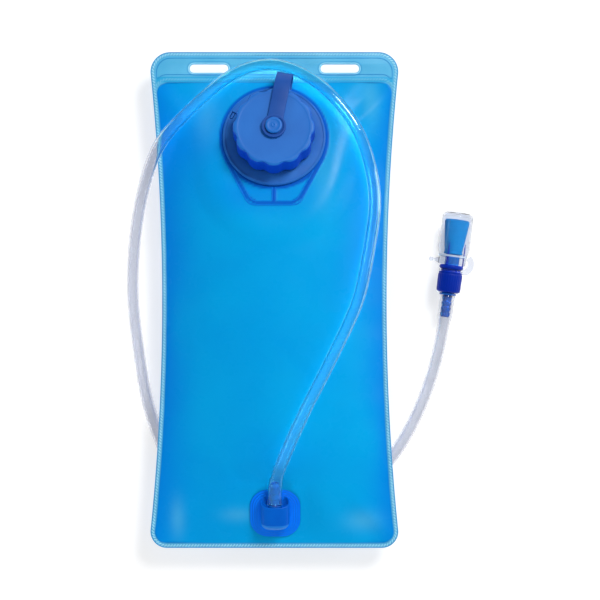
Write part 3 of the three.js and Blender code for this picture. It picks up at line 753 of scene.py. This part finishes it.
def make_film(name, height, wrinkle, material, node, hole_test, columns, rows):
    x, y = film_grid(columns, rows)
    inside = np.ones_like(x)
    inside[0] = inside[-1] = 0
    inside[:, 0] = inside[:, -1] = 0
    off_neck, off_outlet = off_fittings(x, y)
    backed = grip_share(x, y) * wrinkle
    z = height(x, y) + wrinkle * puckers(x, y) * inside * off_neck * off_outlet + 0.25 * backed
    kept = ~hole_test(x, y) if hole_test else np.ones_like(x, bool)
    vertices = np.stack([x, y, z], axis=-1).reshape(-1, 3)
    faces = []
    for i in range(rows - 1):
        for k in range(columns - 1):
            if kept[i, k] and kept[i + 1, k] and kept[i, k + 1] and kept[i + 1, k + 1]:
                here = i * columns + k
                faces.append((here, here + 1, here + columns + 1, here + columns))
    film = new_mesh(name, vertices, faces)
    # deeper blue along the side welds and in patches: partly the film's own colour, partly painted shade
    paint(film, "side_band_and_shade", side_shade(x, y))
    # paler patches where the film catches the light: painted highlights
    paint(film, "pale", patches(x, y, PALE_PLACES))
    paint(film, "backed", backed)
    work = bmesh.new()
    work.from_mesh(film.data)
    bmesh.ops.delete(work, geom=[v for v in work.verts if not v.link_faces], context="VERTS")
    work.to_mesh(film.data)
    work.free()
    thick = film.modifiers.new("thickness", "SOLIDIFY")
    thick.thickness = FILM * MM
    thick.offset = 1
    return dress(film, material, "bag", "film", node)


def front_holes(x, y):
    in_neck = np.hypot(x, (y - NECK_Y) / math.cos(NECK_TILT)) < 27.5
    in_outlet = np.hypot(x - OUTLET_X, (y - OUTLET_Y) / math.cos(OUTLET_TILT)) < 7
    return in_neck | in_outlet


front_film = make_film("front_film_skin", front_height, 1.0, FRONT_FILM, "front_film", front_holes, 160, 280)
back_film = make_film("back_film_skin", back_height, 0.0, BACK_FILM, "back_film", None, 120, 200)


# ---------------- welded border and hang strip
def mirrored(points, side=-1):
    """2D points of the right side, on the given side."""
    return [(side * x, y) for x, y in points]


def both_sides(half):
    """Half of a symmetrical line, and on from its end along its mirror image."""
    return half + mirrored(half)[::-1]


def bag_loop(inset, top=HALF_HEIGHT, top_radius=TOP_CORNER, bottom_radius=BOTTOM_CORNER):
    """Outline of the bag, moved inwards by an inset, anticlockwise from the bottom right corner."""
    low = inset - HALF_HEIGHT
    high = top - inset
    rt = max(0.4, top_radius - inset)
    rb = max(0.4, bottom_radius - inset)
    right_low = float(half_width_at(low + rb)) - inset
    right_high = float(half_width_at(high - rt)) - inset
    right = arc((right_low - rb, low + rb), rb, -math.pi / 2, 0, 14)
    right += [(float(half_width_at(y)) - inset, y) for y in np.linspace(low + rb, high - rt, 49)[1:-1]]
    right += arc((right_high - rt, high - rt), rt, 0, math.pi / 2, 14)
    return both_sides(right)


def chamber_loop():
    r = CHAMBER_CORNER + WELD
    return bag_loop(WELD, top=CHAMBER_TOP + WELD, top_radius=r, bottom_radius=r)


def slot_loop(side, grow):
    half_width = SLOT_WIDTH / 2 + grow
    outline = rounded_box(SLOT_LENGTH / 2 + grow, half_width, half_width - 0.01)
    return [(side * SLOT_X + x, SLOT_Y + y) for x, y in outline]


SEAM_HALF = FACE_GAP / 2 + FILM
border = flat_plate(
    "welded_border", bag_loop(0), [chamber_loop(), slot_loop(-1, 0), slot_loop(1, 0)],
    SEAM_Z - SEAM_HALF, SEAM_Z + SEAM_HALF, 0.3,
)
dress(border, SEAM_FILM, "bag", "seam", "hang_strip")


def spaced(points, pitch, closed=False):
    """Evenly spaced places on a 2D line, and the line's direction at each."""
    if closed:
        even = evenly(raised([*points, points[0]]), pitch)[:-1]
        directions = np.roll(even, -1, axis=0) - np.roll(even, 1, axis=0)
    else:
        even = evenly(raised(points), pitch)
        directions = np.gradient(even, axis=0)
    return even, directions / np.linalg.norm(directions, axis=1)[:, None]


def dash_shape():
    """One raised weld dash: a low pillow, 1 long, 1 wide and 1 high. Gives its points and faces."""
    rows, columns = 7, 5
    points = []
    for a in np.linspace(-1, 1, rows):
        for b in np.linspace(-1, 1, columns):
            height = math.sqrt(max(0, 1 - abs(a) ** 3)) * math.sqrt(max(0, 1 - b * b))
            narrow = math.sqrt(max(0.04, 1 - a ** 4))
            points.append((a / 2, b / 2 * narrow, height))
    corners = [i * columns + k for i in range(rows - 1) for k in range(columns - 1)]
    faces = [(here, here + columns, here + columns + 1, here + 1) for here in corners]
    right = columns - 1
    top = columns * (rows - 1)
    foot = [*range(0, top, columns), *range(top, top + right), *range(top + right, right, -columns)]
    return np.array(points), [*faces, (*foot, *range(right, 0, -1))]


DASH_PITCH = 2.15
DASH_SLANT = math.radians(42)
DASH_WIDTH = 1.1


def weld_dashes(name, places, directions, length, height, material):
    """Rope-like weld: slanted pillows set along a run, on both faces of the bag."""
    shape, shape_faces = dash_shape()
    vertices = []
    faces = []
    for place, direction in zip(places, directions):
        angle = math.atan2(direction[1], direction[0]) + DASH_SLANT
        c, s = math.cos(angle), math.sin(angle)
        for side in (1, -1):
            offset = len(vertices)
            for a, b, h in shape:
                x, y = a * length, b * DASH_WIDTH
                z = SEAM_Z + side * (SEAM_HALF - 0.05 + h * height)
                vertices.append((place[0] + x * c - y * s, place[1] + x * s + y * c, z))
            faces += [[offset + k for k in face[::side]] for face in shape_faces]
    piece = new_mesh(name, vertices, faces)
    tidy_normals(piece)
    return dress(piece, material, "bag", "seam")


def hang_weld_line(level):
    """Centre line of the cross weld, with its ends turned down into the side welds."""
    r = CHAMBER_CORNER
    reach = float(half_width_at(level - r)) - WELD * 0.6
    return both_sides(arc((r - reach, level - r), r, math.pi, math.pi / 2, 10))


cross_line = hang_weld_line(CHAMBER_TOP + HANG_WELD / 2)
weld_dashes("edge_weld_dashes", *spaced(bag_loop(WELD / 2), DASH_PITCH, True), 2.8, 0.55, WELD_DASH)
weld_dashes("cross_weld_dashes", *spaced(cross_line, DASH_PITCH), 2.9, 0.45, CROSS_DASH)


def cross_weld_band():
    """Pressed band that closes the chamber below the hang strip, on both faces of the bag."""
    low, high = CHAMBER_TOP + 0.1, CHAMBER_TOP + HANG_WELD - 0.1
    half = float(half_width_at(low)) - WELD
    outline = [(-half, low), (half, low), (half, high), (-half, high)]
    bands = []
    for side in (-1, 1):
        level = SEAM_Z + side * SEAM_HALF
        bands.append(flat_plate("band", outline, [], level - 0.08, level + 0.08, 0.04))
    dress(join("cross_weld_band", bands), CROSS_BAND, "bag", "seam")


cross_weld_band()


def bead(name, points, radius, material):
    """Thin closed embossed line on the front face."""
    even = evenly(raised([*points, points[0]], SEAM_Z + SEAM_HALF), 1.5)[:-1]
    frames = sweep_frames(np.vstack([even[-1:], even, even[:1]]))[1:-1]
    section = [(a, b * 0.8) for a, b in circle(radius, 8)]
    rings = [carried(point, across, section) for point, across in zip(even, frames)]
    return dress(loft(name, rings, loop=True), material, "bag", "seam")


def strip_line():
    """Thin line just inside the welds of the hang strip."""
    inset = WELD + 0.9
    low = CHAMBER_TOP + HANG_WELD + 0.9
    r = TOP_CORNER - inset
    side = float(half_width_at(low + 6)) - inset
    top = HALF_HEIGHT - inset
    right = [(side, low - 2.5), (side, low + 2)]
    right += arc((HALF_WIDTH - inset - r, top - r), r, 0, math.pi / 2, 12)
    foot = arc((7 - side, low - 6.5), 7, math.pi * 0.82, math.pi / 2, 6)
    return both_sides(right) + both_sides(foot)


bead("hang_strip_line", strip_line(), 0.28, WELD_LINE)
bead("border_edge_line", bag_loop(0.35), 0.24, WELD_LINE)
chamber_edge = bag_loop(WELD + 0.15, top=CHAMBER_TOP + WELD, top_radius=CHAMBER_CORNER + WELD)
bead("chamber_line", chamber_edge, 0.26, WELD_LINE)
for label, side in (("left", -1), ("right", 1)):
    bead(f"slot_rim_{label}", slot_loop(side, 0.9), 0.3, WELD_DASH)
    bead(f"slot_groove_{label}", slot_loop(side, 1.9), 0.16, WELD_LINE)


# ---------------- filling neck
NECK_BORE = 22
NECK_TUBE = 25
NECK_THREAD = 26.2
NECK_RIM = 19
PITCH = 5
GRIP_FOOT = -51
GRIP_FOOT_X = 13
GRIP_CORNER = -46
GRIP_CORNER_X = 20.5
GRIP_LEG = (36.5, -15)
GRIP_RIB_HALF = 1.3
INNER_FOOT = (GRIP_FOOT_X - 0.2, GRIP_FOOT + GRIP_WIDTH)
INNER_CORNER = (GRIP_CORNER_X - GRIP_WIDTH, GRIP_CORNER + GRIP_WIDTH / 2)
INNER_LEG = (25.5, -30.2)


def grip_outline():
    """The grip frame's outer edge, from its left corner round its foot to its right corner."""
    corner = (-GRIP_CORNER_X, GRIP_CORNER)
    bend = quadratic(corner, (2 - GRIP_CORNER_X, GRIP_FOOT), (-GRIP_FOOT_X, GRIP_FOOT), 8)
    return both_sides([corner, *bend])


def neck_plate():
    tangent = math.atan2(GRIP_LEG[1], GRIP_LEG[0])
    outline = arc((0, 0), PLATE_RADIUS, tangent, math.pi - tangent, 96) + grip_outline()
    holes = [circle(NECK_BORE, 96)]
    for side in (-1, 1):
        rib_top = math.atan2(-PLATE_RADIUS, side * GRIP_RIB_HALF)
        leg_top = math.atan2(INNER_LEG[1], side * INNER_LEG[0])
        window = mirrored([(GRIP_RIB_HALF, INNER_FOOT[1]), INNER_FOOT, INNER_CORNER], side)
        holes.append(window + arc((0, 0), PLATE_RADIUS, leg_top, rib_top, 12))
    return flat_plate("neck_plate", outline, holes, -2.0, -0.3, 0.35, NECK)


def thread(name, root, crest, start, turns, matrix):
    """Spiral ridge from root to crest, running out at both ends."""
    foot_half = 1.1
    crest_half = 0.5
    steps = int(turns * 72)
    rings = []
    for i in range(steps + 1):
        angle = i / 72 * TAU
        fade = min(1, min(i, steps - i) / 10)
        tip = root + (crest - root) * fade
        level = start + i / 72 * PITCH
        section = [(root, -foot_half), (tip, -crest_half), (tip, crest_half), (root, foot_half)]
        rings.append([(r * math.cos(angle), r * math.sin(angle), level + h) for r, h in section])
    return loft(name, rings, capped=True, matrix=matrix)


def make_neck():
    tube = lathe("neck_tube", filleted([
        (NECK_BORE, -2), (NECK_TUBE, -2), (NECK_TUBE, NECK_RIM), (NECK_BORE, NECK_RIM),
    ], 0.5), NECK, 128)
    ridge = thread("neck_thread", NECK_TUBE - 0.5, NECK_THREAD, 8, 1.75, NECK)
    neck = join("filling_neck", [neck_plate(), tube, ridge])
    return dress(neck, FITTING, "bag", "fitting", "neck_spout")


make_neck()


def pressed_line(name, points, half_width):
    """Low ridge that the grip frame presses into the film above it, along points in the neck's frame."""
    level = 0.62
    half_height = 0.22
    line = evenly(raised(points, level), 1.2)
    section = [(a * half_width, b * half_height) for a, b in circle(1, 10)]
    return dress(sweep(name, line, lambda i: section, NECK), GRIP_LINE, "bag", "film")


def make_grip_lines():
    pressed_line("grip_line_outer", [*mirrored([GRIP_LEG]), *grip_outline(), GRIP_LEG], 0.42)
    for label, side in (("left", -1), ("right", 1)):
        window = [(GRIP_RIB_HALF, -37.5), (GRIP_RIB_HALF, INNER_FOOT[1]), INNER_FOOT]
        window += quadratic(INNER_FOOT, (GRIP_CORNER_X - 4, GRIP_FOOT + 3.2), INNER_CORNER, 5)
        window += [INNER_LEG, (28.5, -25)]
        pressed_line(f"grip_line_{label}", mirrored(window, side), 0.35)


make_grip_lines()

RING_SLOT_RADIUS = 34.0
RING_INNER = 25.9
RING_OUTER = 37
RING_BASE = 0.8
RING_TOP = 3.2


def at_angle(points, angle, radius):
    c, s = math.cos(angle), math.sin(angle)
    return [((radius + x) * c - y * s, (radius + x) * s + y * c) for x, y in points]


def make_tether_ring():
    """Flat ring with a small open slot, a raised pad and stop beside it, and a raised rim."""
    slot_angle = math.radians(152)
    hole = at_angle(rounded_box(1.25, 3.1, 1.24, 6), slot_angle, RING_SLOT_RADIUS)
    slot_floor = at_angle(rounded_box(0.85, 2.7, 0.84, 6), slot_angle, RING_SLOT_RADIUS)
    start, end = math.radians(121), math.radians(148)
    pad = arc((0, 0), 36.2, start, end, 16) + arc((0, 0), 31.2, end, start, 16)
    stop = at_angle(rounded_box(1.6, 0.6, 0.55, 4), math.radians(118), 34.2)
    plates = [
        ("body", circle(RING_OUTER, 160), [circle(RING_INNER, 128), hole], RING_BASE, RING_TOP, 0.5),
        ("slot_floor", slot_floor, [], RING_BASE + 0.2, RING_TOP - 0.3, 0.25),
        ("pad", pad, [], RING_TOP - 0.5, RING_TOP + 0.9, 0.3),
        ("stop", stop, [], RING_TOP - 0.5, RING_TOP + 0.9, 0.25),
        ("rim", circle(RING_OUTER - 0.6, 160), [circle(RING_OUTER - 1.7, 160)],
         RING_TOP - 0.5, RING_TOP + 0.35, 0.2),
    ]
    ring = join("tether_ring_soft", [flat_plate(part, *plate, NECK) for part, *plate in plates])
    return dress(ring, TETHER_RING, "bag", "tether", "tether_ring")


make_tether_ring()

CAP_LOBES = 12
CAP_RADIUS = 28.5
CAP_BASE = 4.3
CAP_TOP = 22.5
CAP_INNER = 26.9
CAP_CEILING = 20.6


def cap_wave(angle, radius, height):
    """The cap's scallops, on its outside only."""
    if radius < CAP_INNER + 0.05:
        return 0
    lobe = 0.85 * math.cos(CAP_LOBES * angle) - 0.17 * math.cos(2 * CAP_LOBES * angle)
    fade = min(1, max(0, (radius - CAP_INNER) / 0.9))
    return lobe * fade


def make_cap():
    outside = [
        (CAP_INNER, CAP_BASE, 0.2), (CAP_RADIUS - 0.35, CAP_BASE, 0.35),
        (CAP_RADIUS + 0.1, CAP_BASE + 1.2, 0.3), (CAP_RADIUS, CAP_TOP - 1.3, 0.5),
        (CAP_RADIUS - 1.1, CAP_TOP, 0.6), (25.6, CAP_TOP, 0.2), (25.3, CAP_TOP - 0.12, 0.1),
        (0.02, CAP_TOP - 0.12, 0),
    ]
    inside = [(0.02, CAP_CEILING, 0), (CAP_INNER, CAP_CEILING, 0.6)]
    shell = lathe("cap_shell", in_short_steps(filleted(outside + inside, 0, 4), 2.5), NECK, 288, cap_wave)
    ridge = thread("cap_thread", CAP_INNER + 0.5, 25.4, 5.5, 1.5, NECK)
    cap = join("screw_cap_scalloped", [shell, ridge])
    dress(cap, CAP, "screw_cap", "cap", "cap")
    up = axis_of(NECK, 0, 0, 1)
    # faces that turn away from the top get the darker blue: painted shade on the cap's sides
    return second_colour(cap, CAP_SIDE_SHADE, lambda face: face.normal.dot(up) <= 0.6)


make_cap()

STRAP_THICK = 1.8
STRAP_WIDTH = 11.4
STRAP_BASE = CAP_TOP + FACE_GAP
STRAP_LEAN = math.radians(10.5)
STRAP_FRAME = NECK @ Matrix.Rotation(-STRAP_LEAN, 4, "Z")


def make_strap():
    middle = STRAP_BASE + STRAP_THICK / 2
    line = centripetal([
        (0, 5.5, middle), (0, 16, middle), (0, 27, middle), (0, 36, middle - 2), (0, 43, middle - 8),
        (0, 45, middle - 14), (0, 43.2, middle - 19.5), (0, 37.6, RING_BASE + 1.3),
        (0, 34.5, RING_BASE + 1.4),
    ], 12)
    section = rounded_box(STRAP_WIDTH / 2, STRAP_THICK / 2, 0.6, 4)
    strap = sweep("strap", evenly(line, 1.0), lambda i: section, STRAP_FRAME)
    eyelet = lathe("eyelet", filleted([
        (3.4, STRAP_BASE), (8.7, STRAP_BASE), (8.7, STRAP_BASE + STRAP_THICK + 0.15),
        (7.2, STRAP_BASE + STRAP_THICK + 0.15), (6.9, STRAP_BASE + STRAP_THICK - 0.2),
        (3.4, STRAP_BASE + STRAP_THICK - 0.2),
    ], 0.35), STRAP_FRAME, 96)
    piece = join("tether_strap_soft", [strap, eyelet])
    dress(piece, TETHER, None, "tether", "tether_strap")
    return stretch(piece)


make_strap()


def make_rivet():
    base = STRAP_BASE + STRAP_THICK + FACE_GAP
    rivet = lathe("cap_rivet_head", filleted([
        (0.02, CAP_TOP - 0.8, 0), (3.0, CAP_TOP - 0.8), (3.0, base, 0), (6.0, base, 0.3),
        (6.0, base + 1.2, 0.6), (4.6, base + 1.55, 0.4), (3.6, base + 1.2, 0.4), (1.9, base + 1.2, 0.3),
        (1.5, base + 1.45, 0.3), (0.02, base + 1.45, 0),
    ], 0.2), NECK, 96)
    return dress(rivet, CAP, "screw_cap", "cap", "cap_rivet")


make_rivet()


# ---------------- outlet fitting
def make_outlet():
    half = OUTLET_SIDE / 2
    plates = [flat_plate("flange_step_0", rounded_box(half, half, 13.2), [], PLATE_BASE, 1.7, 0.35, OUTLET)]
    for i, (inset, top) in enumerate(((1.7, 2.25), (3.4, 2.75), (4.9, 3.2)), 1):
        outline = rounded_box(half - inset, half - inset, 13.2 - inset)
        plates.append(flat_plate(f"flange_step_{i}", outline, [], PLATE_BASE + 0.2, top, 0.45, OUTLET))
    flange = join("outlet_flange_stepped", plates)
    dress(flange, FITTING, "bag", "fitting", "outlet_flange")
    up = axis_of(OUTLET, 0, 0, 1)
    # sloping step edges and sides get the darker housing blue: painted shade between the steps
    return second_colour(flange, HOUSING, lambda face: face.normal.dot(up) <= 0.75)


HOUSING_HALF = 10.4
HOUSING_LOW = 0.9
HOUSING_TOP = 14.2
HOUSING_BACK = -9.8
END_ROUND = 6.2
CUP_RADIUS = 5.3


def barrel_section(inset, pull):
    """Outline of the housing across the hose, drawn in and pulled towards a round cup about the bore."""
    middle = (HOUSING_TOP + HOUSING_LOW) / 2
    half_height = (HOUSING_TOP - HOUSING_LOW) / 2
    points = []
    for c, s in circle(1, 64):
        x = (HOUSING_HALF - inset) * math.copysign(abs(c) ** 0.85, c)
        h = middle + (half_height - inset) * math.copysign(abs(s) ** 0.85, s)
        away = Vector((x, h - BORE_HEIGHT))
        points.append(away.lerp(away.normalized() * CUP_RADIUS, pull))
    return [(p.x, p.y + BORE_HEIGHT) for p in points]


def make_outlet_housing():
    """Barrel-shaped housing over the outlet bore, open at a slanted mouth on the hose side."""
    def mouth(height):
        return HOUSING_FRONT - 1.4 + (HOUSING_TOP - height) * 0.45

    def ring(y_at, inset=0.0, pull=0.0):
        return [(x, y_at(h), h) for x, h in barrel_section(inset, pull)]

    def mouth_ring(depth, inset, pull=0.0):
        return ring(lambda h: mouth(h) - depth, inset, pull)

    rings = []
    for k in range(9):
        angle = k / 8 * math.pi / 2
        level = HOUSING_BACK + END_ROUND * (1 - math.cos(angle))
        rings.append(ring(lambda h, y=level: y, END_ROUND * (1 - math.sin(angle))))
    for share in (0.3, 0.6, 0.85):
        shoulder = (HOUSING_BACK + END_ROUND) * (1 - share)
        rings.append(ring(lambda h, s=share, y=shoulder: y + mouth(h) * s))
    rings += [
        mouth_ring(0.5, 0), mouth_ring(0.12, 0.1), mouth_ring(0, 0.4), mouth_ring(0.08, 0.8),
        mouth_ring(0.4, 1.0), mouth_ring(2, 1.1, 0.1), mouth_ring(5, 1.6, 0.4), mouth_ring(5.6, 2.4, 0.7),
        mouth_ring(5.7, 4, 1),
    ]
    housing = loft("outlet_housing", rings, capped=True, matrix=OUTLET)
    dress(housing, HOUSING, "bag", "fitting")
    up = axis_of(OUTLET, 0, 0, 1)
    back = axis_of(OUTLET, 0, -1, 0)
    # faces of the rounded back end that turn upwards get the lighter blue: a painted highlight crescent
    return second_colour(
        housing, HOUSING_END_HIGHLIGHT, lambda face: face.normal.dot(back) > 0.2 and face.normal.dot(up) > 0.25
    )


BARB_BORE = 2.0
BARB_ROOT = 3.1
BARB_RIDGE = 3.85
BARB_RIDGES = 4


def barb_profile(tip, foot):
    """Outside of a hollow hose barb along z, from its tip (low z) to its foot."""
    pitch = (foot - tip) / BARB_RIDGES
    points = [(BARB_BORE, tip, 0.1), (BARB_ROOT - 0.2, tip, 0.2)]
    for i in range(BARB_RIDGES):
        points.append((BARB_RIDGE, tip + (i + 0.72) * pitch, 0.15))
        points.append((BARB_ROOT, tip + (i + 0.8) * pitch, 0.15))
        points.append((BARB_ROOT, tip + (i + 1) * pitch, 0.05))
    return points


OUTLET_BORE_FRAME = OUTLET @ Matrix.Translation((0, 0, BORE_HEIGHT)) @ Matrix.Rotation(math.pi / 2, 4, "X")


def make_outlet_barb():
    tip = -(HOUSING_FRONT + FACE_GAP + BARB_LENGTH)
    foot = -HOUSING_FRONT + 0.5
    profile = barb_profile(tip, foot) + [(4.9, foot, 0.3), (4.9, 4.7, 0.3), (BARB_BORE, 4.7, 0)]
    barb = lathe("outlet_barb_blue", filleted(profile, 0.15, 2), OUTLET_BORE_FRAME, 64)
    return dress(barb, BARB, "bag", "fitting", "outlet_barb")


make_outlet()
make_outlet_housing()
make_outlet_barb()


# ---------------- bite valve; its frame has z along the valve
def make_valve_stem():
    profile = barb_profile(-BARB_LENGTH, 0) + [
        (6.1, 0, 0.3), (6.1, 1.6, 0.3), (4.5, 1.6, 0), (4.5, 18.7, 0.2), (4.0, 18.7, 0), (4.0, 30, 0.3),
        (BARB_BORE, 30, 0.1),
    ]
    stem = lathe("valve_stem_barbed", filleted(profile, 0.15, 2), VALVE, 64)
    return dress(stem, BARB, "bag", "valve_body", "valve_stem")


def make_valve_collar():
    def flutes(angle, radius, height):
        if radius < 8.2 or not 3.2 < height < 15.2:
            return 0
        return -0.16 * (0.5 + 0.5 * math.cos(30 * angle)) ** 2

    profile = [
        (4.8, 1.9, 0.2), (6.6, 1.9, 0.3), (8.6, 2.9, 0.7), (8.75, 5, 0.2), (8.9, 15.0, 0.4),
        (8.45, 15.6, 0.2), (8.45, 16.2, 0.2), (8.8, 16.6, 0.2), (8.5, 17.1, 0.2), (7.3, 17.1, 0.1),
        (7.3, 18.8, 0.2), (4.8, 18.8, 0.2),
    ]
    collar = lathe("valve_collar_fluted", in_short_steps(filleted(profile, 0.2, 3), 1), VALVE, 240, flutes)
    return dress(collar, VALVE_BLUE, "bag", "valve_body", "valve_collar")


PRONGS = 3
# height along the valve, inner and outer radius, half width
PRONG_SECTIONS = [
    (21.8, 7.5, 8.6, 1.15), (23, 7.7, 8.55, 0.95), (30, 7.7, 8.5, 0.75), (36, 7.75, 8.45, 0.5),
    (37.9, 7.8, 8.4, 0.35), (38.4, 7.95, 8.25, 0.2),
]


def make_valve_housing():
    flange = lathe("housing_flange", filleted([
        (4.3, 19.0), (7.8, 19.0, 0.4), (8.75, 20.2, 0.5), (8.75, 21.0, 0.4), (7.9, 22.2, 0.5),
        (5.2, 22.2, 0.4), (5.2, 36), (2.2, 36), (2.2, 32), (4.3, 32),
    ], 0.25), VALVE, 96)
    parts = [flange]
    for i in range(PRONGS):
        turned = VALVE @ Matrix.Rotation(-i / PRONGS * TAU, 4, "Z")
        rings = []
        for height, inner, outer, half in PRONG_SECTIONS:
            corners = [(inner, -half), (outer, -half * 0.8), (outer, half * 0.8), (inner, half)]
            rings.append([(x, y, height) for x, y in filleted(corners, 0.2, 3)])
        parts.append(loft("prong", rings, capped=True, matrix=turned))
    piece = join("valve_housing_pronged", parts)
    dress(piece, VALVE_BLUE, "bite_valve", "valve_body", "valve_housing")
    to_valve = VALVE.inverted()

    def on_hub(face):
        place = to_valve @ (face.center / MM)
        return place.z > 22.3 and math.hypot(place.x, place.y) < 5.6

    return second_colour(piece, HUB_BLUE, on_hub)


def make_mouthpiece():
    base, top = 30.3, 55.8

    def oval(angle, radius, height):
        squeeze = smoothstep(height, base + 12, top)
        return -0.9 * squeeze * math.sin(angle) ** 2 * min(1, radius / 6)

    profile = [
        (5.5, base, 0.2), (6.9, base, 0.3), (6.9, base + 1.2, 0.4), (6.5, base + 1.8, 0.3),
        (7.6, base + 10.5, 0), (9.1, top - 1.8, 0.8), (8.5, top - 0.3, 0.7), (6.2, top, 0.8),
        (0.6, top - 0.2, 0.2), (0.5, top - 2.4, 0.2), (6.8, top - 2.6, 0.8), (7.5, top - 5, 1.0),
        (5.5, base + 8, 0.5),
    ]
    body = lathe("mouthpiece_bulb", filleted(profile, 0.3, 4), VALVE, 96, oval)
    lips = []
    for side in (-1, 1):
        along = np.linspace(-5, 5, 21)
        points = [(t, side * 0.35 * (1 + math.cos(t / 5 * math.pi / 2)), top - 0.22) for t in along]
        lips.append(sweep("lip", points, lambda i: circle(0.42, 8), VALVE))
    piece = join("bite_mouthpiece", [body, *lips])
    return dress(piece, SILICONE, "bite_valve", "silicone", "mouthpiece")


def make_dust_cover():
    base, top = 22.6, 61
    profile = [
        (9.3, base, 0.2), (10, base, 0.2), (10, 28.3, 1.0), (11.6, 33.8, 1.6), (11.2, top - 4, 0.3),
        (11.4, top - 3.4, 0.4), (11.2, top - 2.6, 0.5), (9.6, top - 0.6, 1.2), (5, top - 0.05, 1),
        (0.02, top, 0), (0.02, top - 0.9, 0), (5, top - 0.95, 1), (9.0, top - 1.5, 1.0),
        (10.3, top - 3.6, 0.8), (10.75, 34.2, 1.6), (9.3, 28.7, 1.0),
    ]
    shell = lathe("cover_shell", filleted(profile, 0.3, 4), VALVE, 96)
    nub_level = 25
    stalk_line = [(-x, 0, nub_level) for x in np.linspace(9.6, 14.6, 10)]
    widths = np.interp(np.linspace(0, 1, 10), [0, 0.25, 0.6, 1], [2.4, 1.7, 1.0, 0.8])
    stalk = sweep("stalk", stalk_line, lambda i: circle(widths[i], 16), VALVE)
    half_circle = [(1.6 * math.sin(t) + 0.001, 1.6 * math.cos(t)) for t in np.linspace(math.pi, 0, 15)]
    ball = lathe("ball", half_circle, VALVE @ Matrix.Translation((-15.5, 0, nub_level)), 24, loop=False)
    piece = join("dust_cover_clear", [shell, stalk, ball])
    return dress(piece, CLEAR_COVER, "cover", "clear_cover", "dust_cover")


def make_cover_rib():
    """Low frosted rib round the step of the dust cover."""
    rib = lathe("dust_cover_rib", filleted([
        (9.96, 28.1), (10.3, 28.1), (10.6, 29.4), (10.24, 29.4),
    ], 0.12), VALVE, 96)
    return dress(rib, FROST_RIB, "cover", "clear_cover")


def make_cover_strap():
    groove = 18.05
    ring = lathe("strap_ring", filleted([
        (7.6, groove - 0.6), (8.7, groove - 0.6), (8.7, groove + 0.6), (7.6, groove + 0.6),
    ], 0.25), VALVE, 64)
    line = centripetal([
        (8.4, 0, groove), (11.2, 0, groove + 0.5), (13.3, 0, groove + 2.8), (14, 0, groove + 5.8),
        (13.4, 0, groove + 8.8), (11.6, 0, groove + 10.8),
    ], 10)
    section = rounded_box(0.6, 2.2, 0.45, 4)
    loop = sweep("strap_loop", evenly(line, 0.8), lambda i: section, VALVE)
    strap = join("dust_cover_strap_clear", [ring, loop])
    dress(strap, CLEAR_COVER, None, "clear_cover", "dust_cover_strap")
    return stretch(strap)


stem = make_valve_stem()
collar = make_valve_collar()
housing = make_valve_housing()
mouth = make_mouthpiece()
cover = make_dust_cover()
cover_rib = make_cover_rib()
cover_strap = make_cover_strap()


# ---------------- hidden seals keep their CAD shape
for seal in ("cap_gasket", "outlet_o_ring", "valve_o_ring"):
    node = frame["nodes"][seal]
    node.data.materials.clear()
    node.data.materials.append(SEAL)


# ---------------- floor, world and lights
FLOOR_GAP = 0.0001


def make_floor():
    size = 6
    corners = [(x * size, y * size, -FLOOR_GAP) for x, y in ((-1, -1), (1, -1), (1, 1), (-1, 1))]
    floor = new_mesh("floor", np.array(corners) / MM, [(0, 1, 2, 3)], smooth=False)
    material, tree, shader = base_material("floor_pale")
    feed(tree, shader, {
        "Base Color": grey(0.45), "Roughness": 0.8, "Specular IOR Level": 0.1,
        "Emission Color": grey(1), "Emission Strength": 0.62,
    })
    floor.data.materials.append(material)


def area_light(name, place, target, size, power, mirrored=True):
    data = bpy.data.lights.new(name, "AREA")
    data.shape = "RECTANGLE"
    data.size, data.size_y = size
    data.energy = power
    light = put(name, data)
    light.location = place
    light.rotation_euler = (Vector(target) - Vector(place)).to_track_quat("-Z", "Y").to_euler()
    light.visible_glossy = mirrored


def make_world():
    """White light all round: weaker where it is mirrored, full where clear plastic is looked through."""
    world = bpy.data.worlds.new("studio")
    world.use_nodes = True
    tree = world.node_tree
    soft = tree.nodes["Background"]
    feed(tree, soft, {"Strength": 0.3, "Color": grey(1)})
    rays = tree.nodes.new("ShaderNodeLightPath").outputs
    undiffused = tree.nodes.new("ShaderNodeMath")
    undiffused.operation = "SUBTRACT"
    undiffused.use_clamp = True
    feed(tree, undiffused, {0: rays["Is Transmission Ray"], 1: rays["Diffuse Depth"]})
    light = soft.outputs["Background"]
    for factor, strength in ((rays["Is Glossy Ray"], 0.12), (undiffused.outputs["Value"], 1.0)):
        other = tree.nodes.new("ShaderNodeBackground")
        feed(tree, other, {"Strength": strength})
        mix = tree.nodes.new("ShaderNodeMixShader")
        feed(tree, mix, {"Fac": factor, 1: light, 2: other.outputs["Background"]})
        light = mix.outputs["Shader"]
    feed(tree, tree.nodes["World Output"], {"Surface": light})
    bpy.context.scene.world = world


make_floor()
make_world()
area_light("key", (1.1, 1.5, 2.0), (0, 0, 0), (0.8, 0.8), 56)
area_light("low_fill", (-0.2, -2.4, 0.8), (0, -0.05, 0), (1.4, 0.8), 26, mirrored=False)
area_light("left_fill", (-2.4, 0.4, 0.9), (0, 0, 0), (1.4, 0.8), 18, mirrored=False)
area_light("right_edge", (2.2, 0.4, 0.6), (0, 0.05, 0), (0.5, 1.6), 12)
bpy.context.scene.view_settings.view_transform = "Standard"
